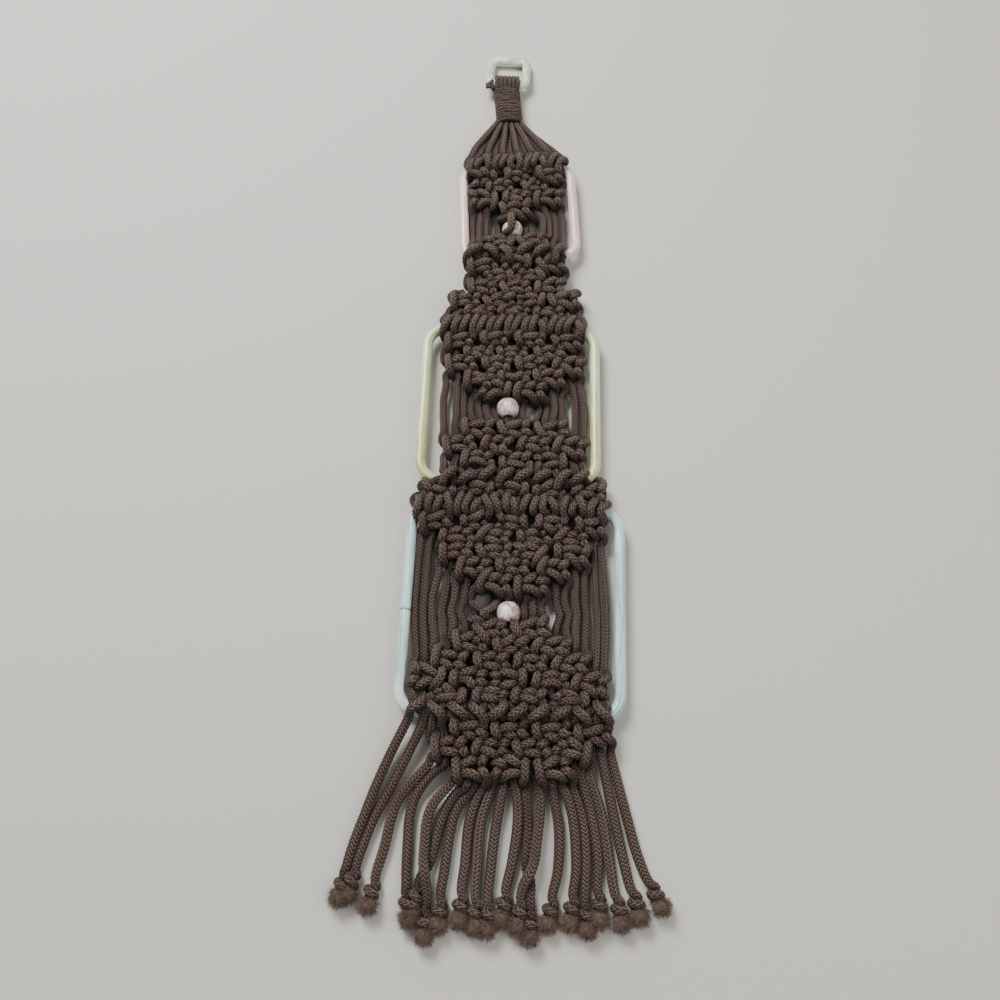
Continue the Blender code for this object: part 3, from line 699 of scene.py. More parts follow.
def curve_between(before, start, end, after, count):
    """Points of a smooth curve from start to end, led by the stops around them."""
    knots = [0.0]
    for a, b in ((before, start), (start, end), (end, after)):
        knots.append(knots[-1] + max(math.dist(a[:3], b[:3]), 0.01) ** 0.5)
    t0, t1, t2, t3 = knots
    points = []
    for number in range(count):
        t = t1 + (t2 - t1) * number / count

        def mix(a, b, ta, tb):
            share = (t - ta) / (tb - ta)
            return [x + (y - x) * share for x, y in zip(a, b)]

        a1 = mix(before, start, t0, t1)
        a2 = mix(start, end, t1, t2)
        a3 = mix(end, after, t2, t3)
        points.append(mix(mix(a1, a2, t0, t2), mix(a2, a3, t1, t3), t1, t2))
    return points


def smooth_route(stops, step=1.9):
    """Close points along a route, each (x, height, z, width), with the stops' kinds."""
    plain = [stop[:4] for stop in stops]
    first = [2 * a - b for a, b in zip(plain[0], plain[1])]
    last = [2 * a - b for a, b in zip(plain[-1], plain[-2])]
    ends = [first, *plain, last]
    points, kinds = [], []
    for index in range(len(plain) - 1):
        before, start, end, after = ends[index:index + 4]
        count = max(2, round(math.dist(start[:3], end[:3]) / step))
        found = curve_between(before, start, end, after, count)
        points += found
        kinds += [stops[index][4]] + [""] * (count - 1)
    points.append(list(plain[-1]))
    kinds.append(stops[-1][4])
    return points, kinds


def near_pairs(places, cord_of, reach, apart):
    """Points of different cords, or far along one cord, that lie within reach."""
    finder = KDTree(len(places))
    for index, place in enumerate(places):
        finder.insert(place, index)
    finder.balance()
    found = []
    for index, place in enumerate(places):
        for _, other, _ in finder.find_range(place, reach):
            if other - index > apart or other > index and cord_of[other] != cord_of[index]:
                found.append((index, other))
    return np.array(found).T


def clear_of_rings(places, radii):
    """Move points out of the rings' tubes."""
    for outer, corner, x, height, z, turn, tilt in RINGS.values():
        half, bend = (outer - TUBE) / 2, corner - TUBE / 2
        spin = Matrix.Rotation(math.radians(tilt), 3, "X")
        spin = np.array(spin @ Matrix.Rotation(math.radians(turn), 3, "Z"))
        local = (places - (x, height, z)) @ spin
        corner_way = np.abs(local[:, :2]) - (half - bend)
        beyond = np.maximum(corner_way, 0.0)
        reach = np.linalg.norm(beyond, axis=1)
        flat = reach + np.minimum(corner_way.max(axis=1), 0.0) - bend
        most = corner_way >= corner_way.max(axis=1)[:, None]
        way = np.where(reach[:, None] > 0, beyond, most)
        way = way / np.maximum(np.linalg.norm(way, axis=1), 1e-6)[:, None]
        way *= np.sign(local[:, :2])
        distance = np.maximum(np.hypot(flat, local[:, 2]), 0.05)
        press = np.clip(TUBE / 2 + radii * PLASTIC_SHARE - distance, 0.0, PLASTIC_MOVE)
        push = press / distance
        local[:, :2] += way * (flat * push)[:, None]
        local[:, 2] += local[:, 2] * push
        places[:] = local @ spin.T + (x, height, z)


def clear_of_beads(places, radii):
    """Move points out of the beads, but for the cords in their holes."""
    for x, height in BEADS.values():
        away = places - (x, height, BEAD_Z)
        distance = np.linalg.norm(away, axis=1)
        inside = np.hypot(away[:, 0], away[:, 2]) < BEAD_BORE
        push = np.clip(BEAD_RADIUS + radii * PLASTIC_SHARE - distance, 0.0, PLASTIC_MOVE)
        push[inside] = 0.0
        places += away * (push / np.maximum(distance, 0.1))[:, None]


def clear_of_holes(places, radii):
    """Keep the small gaps between the knots open along the camera's view."""
    share = (places[:, 2:3] - HOLE_LEVEL) / (HOLES_OPEN_TO[2] - HOLE_LEVEL)
    for column, row, size in HOLES:
        middle = np.array(seen_place(column, row, HOLE_LEVEL))
        away = places[:, :2] - middle - share * (np.array(HOLES_OPEN_TO[:2]) - middle)
        distance = np.maximum(np.linalg.norm(away, axis=1), 0.1)
        push = np.clip(size + 1.6 + radii * 0.9 - distance, 0.0, 1.3)
        places[:, :2] += away * (push / distance)[:, None]


def local_tops(places, radii, cell=4.0):
    """Height of the knotted surface's top around every point, by which the material paints
    shade into the crevices, with extra painted shade on cords low in the windows.
    """
    spots = ((places[:, :2] - places[:, :2].min(axis=0)) / cell).astype(int) + 2
    tops = np.zeros(spots.max(axis=0) + 3)
    np.maximum.at(tops, tuple(spots.T), places[:, 2] + radii)
    around = [(i, j) for i in (-1, 0, 1) for j in (-1, 0, 1)]
    highest = np.max([np.roll(tops, shift, (0, 1)) for shift in around], axis=0)
    even = np.mean([np.roll(highest, shift, (0, 1)) for shift in around], axis=0)
    own = places[:, 2] + radii
    # Cords low in the windows are given extra painted shade.
    low, foot, shoulder, painted_window_shade = WINDOW_SHADE
    inside = (own < low) & (places[:, 1] > foot) & (places[:, 1] < shoulder)
    floor_level = own + np.where(inside, painted_window_shade, 0.0)
    return np.maximum(floor_level, np.minimum(even[tuple(spots.T)], own + 12.0))


def settle(cords, width, rounds=28):
    """Let the cords push each other, the rings, the beads and the floor away."""
    places = np.array([point[:3] for cord in cords for point in cord])
    radii = np.array([point[3] for cord in cords for point in cord]) * width / 2
    cord_of = np.repeat(np.arange(len(cords)), [len(cord) for cord in cords])
    start = places.copy()
    inner = np.flatnonzero((cord_of[1:-1] == cord_of[:-2]) & (cord_of[1:-1] == cord_of[2:])) + 1
    for number in range(rounds):
        if number % 5 == 0:
            a, b = near_pairs(places, cord_of, width * 1.15, 7)
        gap = places[b] - places[a]
        distance = np.maximum(np.linalg.norm(gap, axis=1), 0.05)
        press = np.clip((radii[a] + radii[b]) * PRESS_SHARE - distance, 0.0, None) * GIVE
        move = gap * (press / distance)[:, None]
        shift = np.zeros_like(places)
        np.add.at(shift, b, move)
        np.add.at(shift, a, -move)
        size = np.maximum(np.linalg.norm(shift, axis=1), 1e-6)
        shift *= np.minimum(1.0, LONGEST_MOVE / size)[:, None]
        change = places + shift - start
        middle = (change[inner - 1] + change[inner + 1]) / 2
        change[inner] += EVENING * (middle - change[inner])
        places = start + change * KEPT_CHANGE
        clear_of_holes(places, radii)
        clear_of_rings(places, radii)
        clear_of_beads(places, radii)
        places[:, 2] = np.maximum(places[:, 2], radii + SURFACE_GAP)
    tops = local_tops(places, radii)
    index = 0
    for cord in cords:
        for point in cord:
            point[:3] = [float(value) for value in places[index]]
            point.append(float(tops[index]))
            index += 1


def all_routes(seed, width):
    """Every cord's points, divided into the pieces they belong to."""
    pieces = {name: [] for name in CORD_PIECES}
    cords = [smooth_route(cord_route(cord, seed)) for cord in range(CORDS)]
    settle([points for points, _ in cords], width / MM)
    for points, kinds in cords:
        owner, start = None, 0
        for index, kind in enumerate(kinds):
            if kind in pieces:
                if owner:
                    pieces[owner].append(points[start:index + 1])
                owner, start = kind, index
        pieces[owner].append(points[start:])
    return pieces


# --------------------------------------------------------------------- geometry nodes


def new_tree(name, **inputs):
    """A geometry node tree on a Geometry and a Material, with number inputs."""
    tree = bpy.data.node_groups.new(name, "GeometryNodeTree")
    sockets = tree.interface
    for label in ("Geometry", "Material"):
        sockets.new_socket(label, in_out="INPUT", socket_type=f"NodeSocket{label}")
    for label, default in inputs.items():
        kind = "NodeSocketInt" if isinstance(default, int) else "NodeSocketFloat"
        socket = sockets.new_socket(
            label.replace("_", " "), in_out="INPUT", socket_type=kind,
        )
        socket.default_value = default
    sockets.new_socket("Geometry", in_out="OUTPUT", socket_type="NodeSocketGeometry")
    return tree, tree.nodes.new("NodeGroupInput").outputs


def fill(tree, made, **links):
    """Set or link a node's inputs by their names, or by i and their number."""
    for key, value in links.items():
        by_number = key[0] == "i" and key[1:].isdigit()
        socket = made.inputs[int(key[1:]) if by_number else key.replace("_", " ")]
        if isinstance(value, bpy.types.NodeSocket):
            tree.links.new(value, socket)
        else:
            socket.default_value = value
    return made


def node(tree, kind, settings=None, **links):
    """A new node; settings are its own properties, links its inputs."""
    made = tree.nodes.new(kind)
    for key, value in (settings or {}).items():
        setattr(made, key, value)
    return fill(tree, made, **links)


def output(tree, kind, settings=None, **links):
    """The first output of a new node."""
    return node(tree, kind, settings, **links).outputs[0]


def math_of(tree, operation, *values):
    """The output of a Math node on sockets or numbers."""
    links = {f"i{number}": value for number, value in enumerate(values)}
    return output(tree, "ShaderNodeMath", {"operation": operation}, **links)


def vectors(tree, operation, **links):
    """The output of a Vector Math node."""
    return output(tree, "ShaderNodeVectorMath", {"operation": operation}, **links)


def scaled(tree, vector, scale):
    """A vector times a number."""
    return vectors(tree, "SCALE", i0=vector, Scale=scale)


def added(tree, first, second):
    """The sum of two vectors."""
    return vectors(tree, "ADD", i0=first, i1=second)


def parts_of(tree, vector):
    """The x, y and z of a vector."""
    return node(tree, "ShaderNodeSeparateXYZ", Vector=vector).outputs


def combined(tree, x, y, z):
    """A vector from its x, y and z."""
    return output(tree, "ShaderNodeCombineXYZ", X=x, Y=y, Z=z)


def position(tree):
    """Where each point is."""
    return output(tree, "GeometryNodeInputPosition")


def named(tree, kind, name):
    """A value that was stored under a name."""
    return output(tree, "GeometryNodeInputNamedAttribute", {"data_type": kind}, Name=name)


def store(tree, geometry, kind, name, value, domain="POINT"):
    """Store a value on a geometry, under a name."""
    return output(
        tree, "GeometryNodeStoreNamedAttribute", {"data_type": kind, "domain": domain},
        Geometry=geometry, Name=name, Value=value,
    )


def moved(tree, geometry, offset):
    """Push each point of a geometry."""
    return output(tree, "GeometryNodeSetPosition", Geometry=geometry, Offset=offset)


def resampled(tree, curve, mode, **size):
    """Put points at even distances on a curve."""
    return output(tree, "GeometryNodeResampleCurve", {"mode": mode}, Curve=curve, **size)


def realized(tree, geometry):
    """Instances made into real geometry."""
    return output(tree, "GeometryNodeRealizeInstances", Geometry=geometry)


def circle(tree, sides, width):
    """A circle of a width, for the section of a tube, and its radius."""
    radius = math_of(tree, "MULTIPLY", width, 0.5)
    made = output(
        tree, "GeometryNodeCurvePrimitiveCircle", Resolution=sides, Radius=radius,
    )
    return made, radius


def tube_section(tree, sides, width):
    """A tube's section, each point marked with its way out from the middle."""
    made, radius = circle(tree, sides, width)
    way = scaled(tree, position(tree), math_of(tree, "DIVIDE", 1.0, radius))
    return store(tree, made, "FLOAT_VECTOR", "around", way)


def finish_tree(tree, geometry, inputs):
    """End a tree with smooth shading, real geometry and its material."""
    smooth = output(tree, "GeometryNodeSetShadeSmooth", Geometry=geometry)
    painted = output(
        tree, "GeometryNodeSetMaterial",
        Geometry=realized(tree, smooth), Material=inputs["Material"],
    )
    node(tree, "NodeGroupOutput", Geometry=painted)
    return tree


def cord_tree():
    """Sweeps a braided cord along each line, with its width and its braid's lie."""
    tree, inputs = new_tree(
        "Braided cord", Cord_width=0.007, Sides=12, Strand=0.0039, Relief=0.00034,
        Depth_scale=100.0,
    )
    line = output(tree, "GeometryNodeMeshToCurve", Mesh=inputs["Geometry"])
    step = math_of(tree, "MULTIPLY", inputs["Strand"], 0.5)
    even = resampled(tree, line, "LENGTH", Length=step)
    count = node(tree, "GeometryNodeSplineParameter").outputs["Index"]
    swept = output(
        tree, "GeometryNodeCurveToMesh", Curve=store(tree, even, "FLOAT", "along", count),
        Profile_Curve=tube_section(tree, inputs["Sides"], inputs["Cord width"]),
        Scale=named(tree, "FLOAT", "width"), Fill_Caps=True,
    )
    across, out, _ = parts_of(tree, named(tree, "FLOAT_VECTOR", "around"))
    steps = named(tree, "FLOAT", "along")
    marked = store(tree, swept, "FLOAT_VECTOR", "braid", combined(tree, across, out, steps))
    angle = math_of(tree, "ARCTAN2", out, across)
    ring_wave = math_of(tree, "COSINE", math_of(tree, "MULTIPLY", angle, 6.0))
    step_wave = math_of(tree, "COSINE", math_of(tree, "MULTIPLY", steps, math.pi))
    wave = math_of(tree, "MULTIPLY", ring_wave, step_wave)
    lift = math_of(tree, "MULTIPLY", wave, inputs["Relief"])
    normal = output(tree, "GeometryNodeInputNormal")
    raised = moved(tree, marked, scaled(tree, normal, lift))
    # How far each point lies below the local top of the knots; the material paints shade by it.
    height = parts_of(tree, position(tree))[2]
    below = math_of(tree, "SUBTRACT", named(tree, "FLOAT", "top"), height)
    depth = math_of(tree, "MULTIPLY", below, inputs["Depth scale"])
    return finish_tree(tree, store(tree, raised, "FLOAT", "depth", depth), inputs)


def ring_tree():
    """Sweeps a plastic tube round a square with round corners, with a fine joint."""
    tree, inputs = new_tree(
        "Square plastic ring", Side=0.1, Corner=0.02, Tube=0.01, Sides=20, Joint_at=-1.0,
        Joint_depth=0.0,
    )
    side = math_of(tree, "SUBTRACT", inputs["Side"], inputs["Tube"])
    half_tube = math_of(tree, "MULTIPLY", inputs["Tube"], 0.5)
    bend = math_of(tree, "SUBTRACT", inputs["Corner"], half_tube)
    square = output(
        tree, "GeometryNodeCurvePrimitiveQuadrilateral", Width=side, Height=side,
    )
    rounded = output(
        tree, "GeometryNodeFilletCurve", {"mode": "POLY"},
        Curve=square, Count=14, Radius=bend,
    )
    path = resampled(tree, rounded, "LENGTH", Length=0.0016)
    factor = output(tree, "GeometryNodeSplineParameter")
    distance = math_of(tree, "SUBTRACT", factor, inputs["Joint at"])
    near = math_of(tree, "COMPARE", distance, 0.0, 0.0011)
    way = math_of(tree, "MULTIPLY", factor, math.tau)
    for name, value in (
        ("way_cos", math_of(tree, "COSINE", way)), ("way_sin", math_of(tree, "SINE", way)),
        ("joint", near),
    ):
        path = store(tree, path, "FLOAT", name, value)
    dent = math_of(tree, "MULTIPLY", near, inputs["Joint depth"])
    swept = output(
        tree, "GeometryNodeCurveToMesh", Curve=path,
        Profile_Curve=tube_section(tree, inputs["Sides"], inputs["Tube"]),
        Scale=math_of(tree, "SUBTRACT", 1.0, dent),
    )
    return finish_tree(tree, swept, inputs)


def random_way(tree, seed, add):
    """A random direction for each element."""
    spread = output(
        tree, "FunctionNodeRandomValue", {"data_type": "FLOAT_VECTOR"},
        Min=(-1.0, -1.0, -1.0), Max=(1.0, 1.0, 1.0),
        Seed=math_of(tree, "ADD", seed, float(add)),
    )
    return vectors(tree, "NORMALIZE", i0=spread)


def random_number(tree, low, high, seed, add):
    """A random number between two numbers."""
    return node(
        tree, "FunctionNodeRandomValue", {"data_type": "FLOAT"}, i2=low, i3=high,
        Seed=math_of(tree, "ADD", seed, float(add)),
    ).outputs[1]


def wavering(tree, scale, size):
    """A small push that wanders from place to place."""
    noise = node(
        tree, "ShaderNodeTexNoise", Vector=position(tree), Scale=scale, Detail=2.0,
    )
    return scaled(tree, added(tree, noise.outputs["Color"], (-0.5, -0.5, -0.5)), size)


def on_floor(tree, geometry, height):
    """Lift what lies below a height up to it."""
    x, y, z = parts_of(tree, position(tree))
    above = combined(tree, x, y, math_of(tree, "MAXIMUM", z, height))
    return output(tree, "GeometryNodeSetPosition", Geometry=geometry, Position=above)


def pointing(tree, way):
    """The turn that points z in a direction."""
    return output(tree, "FunctionNodeAlignRotationToVector", {"axis": "Z"}, Vector=way)


def tuft_tree():
    """Grows a matted ball at each point, and short bent fibres all over it."""
    tree, inputs = new_tree(
        "Brushed tuft", Fibres=400, Length=0.0125, Fibre_width=0.0006, Core=0.007, Seed=5,
    )
    seed, core = inputs["Seed"], inputs["Core"]
    points = output(tree, "GeometryNodeMeshToPoints", Mesh=inputs["Geometry"])
    lie = named(tree, "FLOAT_VECTOR", "lie")

    ball = output(tree, "GeometryNodeMeshIcoSphere", Radius=core, Subdivisions=4)
    balls = output(
        tree, "GeometryNodeInstanceOnPoints", Points=points, Instance=ball,
        Rotation=pointing(tree, lie), Scale=(1.12, 0.92, 0.92),
    )
    matted = moved(tree, realized(tree, balls), wavering(tree, 420.0, 0.0026))
    matted = store(tree, on_floor(tree, matted, 0.0007), "FLOAT", "tone", 0.3)

    many = output(
        tree, "GeometryNodeDuplicateElements", {"domain": "POINT"},
        Geometry=points, Amount=inputs["Fibres"],
    )
    out = random_way(tree, seed, 0)
    rooted = moved(tree, many, scaled(tree, out, math_of(tree, "MULTIPLY", core, 0.88)))
    rooted = store(tree, rooted, "FLOAT_VECTOR", "out", out)
    stray = scaled(tree, random_way(tree, seed, 3), 0.75)
    way = added(tree, named(tree, "FLOAT_VECTOR", "out"), stray)
    tip = combined(tree, 0.0, 0.0, inputs["Length"])
    line = output(tree, "GeometryNodeCurvePrimitiveLine", {"mode": "POINTS"}, End=tip)
    line = resampled(tree, line, "COUNT", Count=3)
    factor = output(tree, "GeometryNodeSplineParameter")
    placed = output(
        tree, "GeometryNodeInstanceOnPoints",
        Points=rooted, Instance=store(tree, line, "FLOAT", "share", factor),
        Rotation=pointing(tree, added(tree, way, scaled(tree, lie, 0.35))),
        Scale=random_number(tree, 0.7, 1.15, seed, 1),
    )
    tone = random_number(tree, 0.0, 1.0, seed, 2)
    real = realized(tree, store(tree, placed, "FLOAT", "tone", tone, "INSTANCE"))
    share = named(tree, "FLOAT", "share")
    bent = moved(tree, real, scaled(tree, wavering(tree, 300.0, 0.008), share))
    taper = math_of(tree, "SUBTRACT", 1.15, math_of(tree, "MULTIPLY", share, 0.75))
    swept = output(
        tree, "GeometryNodeCurveToMesh", Curve=on_floor(tree, bent, 0.0006),
        Profile_Curve=circle(tree, 3, inputs["Fibre width"])[0], Scale=taper,
        Fill_Caps=True,
    )
    whole_tuft = node(tree, "GeometryNodeJoinGeometry")
    for part in (swept, matted):
        tree.links.new(part, whole_tuft.inputs[0])
    return finish_tree(tree, whole_tuft.outputs[0], inputs)


def run_tree(piece, tree, **values):
    """Run a node tree on a piece and keep its result as a plain mesh."""
    modifier = piece.modifiers.new(tree.name, "NODES")
    modifier.node_group = tree
    for item in tree.interface.items_tree:
        key = item.name.replace(" ", "_")
        if item.in_out == "INPUT" and key in values:
            modifier[item.identifier] = values.pop(key)
    if values:
        raise ValueError(f"{tree.name} has no input {sorted(values)}")
    bpy.context.view_layer.update()
    evaluated = piece.evaluated_get(bpy.context.evaluated_depsgraph_get())
    mesh = bpy.data.meshes.new_from_object(evaluated)
    piece.modifiers.clear()
    mesh.name = piece.name
    piece.data = mesh
    return piece


def placed_object(name, data):
    """A new object in the scene."""
    made = bpy.data.objects.new(name, data)
    bpy.context.scene.collection.objects.link(made)
    return made


def mark(mesh, name, kind, key, values):
    """Store values on a mesh's points, under a name."""
    mesh.attributes.new(name, kind, "POINT").data.foreach_set(key, values)


def line_object(name, routes):
    """An object of open lines in the frame, with the width share at every point."""
    mesh = bpy.data.meshes.new(name)
    places, edges, widths, tops = [], [], [], []
    for route in routes:
        start = len(places)
        places += [to_frame(*point[:3]) for point in route]
        widths += [point[3] for point in route]
        tops += [point[4] * MM for point in route]
        edges += [(start + i, start + i + 1) for i in range(len(route) - 1)]
    mesh.from_pydata(places, edges, [])
    mark(mesh, "width", "FLOAT", "value", widths)
    mark(mesh, "top", "FLOAT", "value", tops)
    return placed_object(name, mesh)


def hand_over(piece, slot_name, *nodes):
    """Let a finished piece ride on the hanging and stand for its CAD nodes."""
    if not piece.data.polygons:
        raise RuntimeError(f"{piece.name} came out empty")
    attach(piece, "root")
    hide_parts(*nodes)
    return piece


# -------------------------------------------------------------------------- materials


def new_material(name):
    """A node material, its tree and its Principled shader."""
    material = bpy.data.materials.new(name)
    material.use_nodes = True
    tree = material.node_tree
    return material, tree, tree.nodes["Principled BSDF"]


def ramp(tree, value, *stops):
    """A Color Ramp on a value: stops are (place, colour)."""
    made = node(tree, "ShaderNodeValToRGB", Fac=value)
    elements = made.color_ramp.elements
    while len(elements) < len(stops):
        elements.new(0.5)
    for element, (place, tone) in zip(elements, stops):
        element.position = place
        element.color = (*tone[:3], 1.0)
    return made.outputs["Color"]


def attribute(tree, name, kind="Fac"):
    """What a piece's mesh stores under a name."""
    made = node(tree, "ShaderNodeAttribute", {"attribute_name": name})
    return made.outputs[kind]


def own_place(tree):
    """A point's place on its piece."""
    return node(tree, "ShaderNodeTexCoord").outputs["Object"]


def noise_on(tree, place, scale, detail=3.0, **more):
    """The values of a noise at a place."""
    return output(
        tree, "ShaderNodeTexNoise", Vector=place, Scale=scale, Detail=detail, **more,
    )


def tinted(tree, first, second):
    """Two colours multiplied."""
    settings = {"data_type": "RGBA", "blend_type": "MULTIPLY"}
    return node(tree, "ShaderNodeMix", settings, i0=1.0, i6=first, i7=second).outputs[2]


def bumped(tree, height, strength, distance):
    """A normal that follows a height."""
    return output(
        tree, "ShaderNodeBump", Height=height, Strength=strength, Distance=distance,
    )


def braid_height(tree):
    """Height of a braid's strands: columns of strands that slant to and fro."""
    across, out, steps = parts_of(tree, attribute(tree, "braid", "Vector"))
    angle = math_of(tree, "ARCTAN2", out, across)
    column = math_of(tree, "MULTIPLY", angle, BRAID_STRANDS / math.tau)
    number = math_of(tree, "ROUND", column)
    aside = math_of(tree, "SUBTRACT", column, number)
    odd = math_of(tree, "MODULO", math_of(tree, "ABSOLUTE", number), 2.0)
    side = math_of(tree, "MULTIPLY_ADD", odd, -2.0, 1.0)
    slant = math_of(tree, "MULTIPLY", side, aside)
    along = math_of(tree, "MULTIPLY_ADD", steps, 0.5, slant)
    wave = math_of(tree, "COSINE", math_of(tree, "MULTIPLY", along, math.pi))
    crest = math_of(tree, "POWER", math_of(tree, "ABSOLUTE", wave), 1.5)
    far = math_of(tree, "MULTIPLY", math_of(tree, "ABSOLUTE", aside), 2.0)
    edge = math_of(tree, "MULTIPLY_ADD", math_of(tree, "POWER", far, 3.0), -0.5, 1.0)
    return math_of(tree, "MULTIPLY", crest, edge)


def cord_material(name, settings, tone=1.0):
    """Dark brown braided cord, a little shiny, with a painted highlight on top of its
    strands and painted shade between them and in the knots' crevices.
    """
    material, tree, shader = new_material(name)
    height = braid_height(tree)
    place = own_place(tree)
    wide = noise_on(tree, place, 24.0)
    fine = noise_on(tree, place, 1500.0)
    # The strand ramp runs from painted shade in the crevices to a painted highlight on the
    # strands' tops.
    light = [value * tone for value in settings.light]
    dark = [value * tone for value in settings.dark]
    middle = [a * 0.42 + b * 0.58 for a, b in zip(light, dark)]
    painted_strand_highlight = [value * 1.3 for value in light]
    fuzzy = math_of(tree, "MULTIPLY_ADD", fine, 0.5, -0.25)
    strand = ramp(
        tree, math_of(tree, "ADD", height, fuzzy),
        (0.14, dark), (0.42, middle), (0.72, light), (1.0, painted_strand_highlight),
    )
    tint = ramp(
        tree, wide, (0.30, (0.84, 0.72, 0.68)), (0.50, (0.96, 0.93, 0.92)),
        (0.72, (1.0, 1.02, 1.04)),
    )
    # Painted shade in the crevices between cords and knots, by how deep each point lies below
    # the local top; the topmost points are painted a little lighter.
    painted_crevice_shade = ramp(
        tree, attribute(tree, "depth"), (0.05, (1.08, 1.08, 1.10)),
        (0.28, (0.88, 0.86, 0.86)), (0.60, (0.44, 0.40, 0.38)), (1.0, (0.16, 0.13, 0.12)),
    )
    relief = math_of(tree, "MULTIPLY_ADD", fine, 0.22, height)
    fill(
        tree, shader, Base_Color=tinted(tree, tinted(tree, strand, tint), painted_crevice_shade),
        Normal=bumped(tree, relief, 1.0, 0.0011),
        Roughness=math_of(tree, "MULTIPLY_ADD", fine, 0.2, 0.44), Specular_IOR_Level=0.42,
        Sheen_Weight=0.16, Sheen_Roughness=0.40, Sheen_Tint=(1.0, 0.80, 0.70, 1.0),
    )
    return material


def tuft_material(settings):
    """Brushed-out fibres, each with its own tone, matted at their roots."""
    material, tree, shader = new_material("brushed_fibre")
    fine = noise_on(tree, own_place(tree), 1400.0)
    speckle = math_of(tree, "MULTIPLY_ADD", fine, 0.7, -0.35)
    tone = math_of(tree, "ADD", attribute(tree, "tone"), speckle)
    base = settings.colour
    dark = [value * 0.62 for value in base]
    light = [value * 1.4 for value in base]
    fill(
        tree, shader, Base_Color=ramp(tree, tone, (0.0, dark), (0.55, base), (1.0, light)),
        Normal=bumped(tree, fine, 1.0, 0.0009), Roughness=0.8, Specular_IOR_Level=0.2,
        Sheen_Weight=0.3, Sheen_Tint=(1.0, 0.82, 0.72, 1.0),
    )
    return material


def ball_pattern(tree, scale, turn):
    """Two marble noises, fine and broad, on a ball's own place."""
    mapped = output(
        tree, "ShaderNodeMapping", Vector=own_place(tree), Scale=(1.0, 0.55, 1.0),
        Rotation=(0.0, 0.0, math.radians(turn)),
    )
    swirl = noise_on(tree, mapped, scale, 4.0, Roughness=0.55, Distortion=1.6)
    return swirl, noise_on(tree, mapped, scale * 0.45, 2.0, Distortion=0.8)


def ring_pattern(tree, across, along, start):
    """Two marble noises, fine and broad, that follow a ring's tube all the way round."""
    x, y, _ = parts_of(tree, attribute(tree, "around", "Vector"))
    place = combined(
        tree, math_of(tree, "MULTIPLY_ADD", x, across, start),
        math_of(tree, "MULTIPLY", y, across),
        math_of(tree, "MULTIPLY", attribute(tree, "way_cos"), along),
    )
    deep = math_of(tree, "MULTIPLY", attribute(tree, "way_sin"), along)
    return [
        output(
            tree, "ShaderNodeTexNoise", {"noise_dimensions": "4D"}, Vector=place, W=deep,
            Scale=scale, Detail=detail, Roughness=0.55, Distortion=distortion,
        )
        for scale, detail, distortion in ((1.0, 4.0, 1.2), (0.5, 2.0, 0.7))
    ]


def marbled_plastic(name, base, vein, cloud, fineness, pattern, *sizes):
    """Glossy cast plastic with cloudy swirls and darker veins of a fineness."""
    material, tree, shader = new_material(name)
    swirl, clouds = pattern(tree, *sizes)
    centred = math_of(tree, "ABSOLUTE", math_of(tree, "SUBTRACT", swirl, 0.5))
    between = [(a + b) / 2 for a, b in zip(base, vein)]
    veined = ramp(
        tree, math_of(tree, "MULTIPLY", centred, fineness),
        (0.0, vein), (0.022, between), (0.065, base),
    )
    black, white = (0.0, 0.0, 0.0), (1.0, 1.0, 1.0)
    cloudy = ramp(tree, clouds, (0.47, black), (0.64, white))
    mixed = node(
        tree, "ShaderNodeMix", {"data_type": "RGBA"}, i0=cloudy, i6=veined, i7=(*cloud, 1.0),
    ).outputs[2]
    grimy = ramp(tree, attribute(tree, "joint"), (0.0, white), (1.0, (0.30, 0.25, 0.22)))
    fill(
        tree, shader, Base_Color=tinted(tree, mixed, grimy),
        Roughness=math_of(tree, "MULTIPLY_ADD", clouds, 0.16, 0.16),
        Normal=bumped(tree, swirl, 0.12, 0.0004), Subsurface_Weight=0.12,
        Subsurface_Scale=0.004, Coat_Weight=0.35, Coat_Roughness=0.08,
    )
    return material


# -------------------------------------------------------------------------- operators


class HANGING_OT_cords(bpy.types.Operator):
    """Lay every cord through its loops, hitches, knots, windows and fringe"""

    bl_idname = "hanging.cords"
    bl_label = "Knotted Cords"

    def execute(self, context):
        settings = context.scene.hanging_cord
        tree = cord_tree()
        material = cord_material("braided_cord", settings)
        for name, routes in all_routes(settings.seed, settings.net_width).items():
            half = len(routes) // 2
            halves = {"_left": routes[:half], "_right": routes[half:]}
            stretched = name == "fan_cords"
            for side, some in (halves if name == "net_bottom" else {"": routes}).items():
                piece = line_object(f"{name}_braid{side}", some)
                run_tree(
                    piece, tree, Cord_width=settings.net_width, Sides=settings.sides,
                    Strand=settings.strand * (1.2 if stretched else 1.0),
                    Relief=settings.relief, Material=material,
                    Depth_scale=200.0 if stretched else 100.0,
                )
                hand_over(piece, "cord_brown", name)
        return {"FINISHED"}


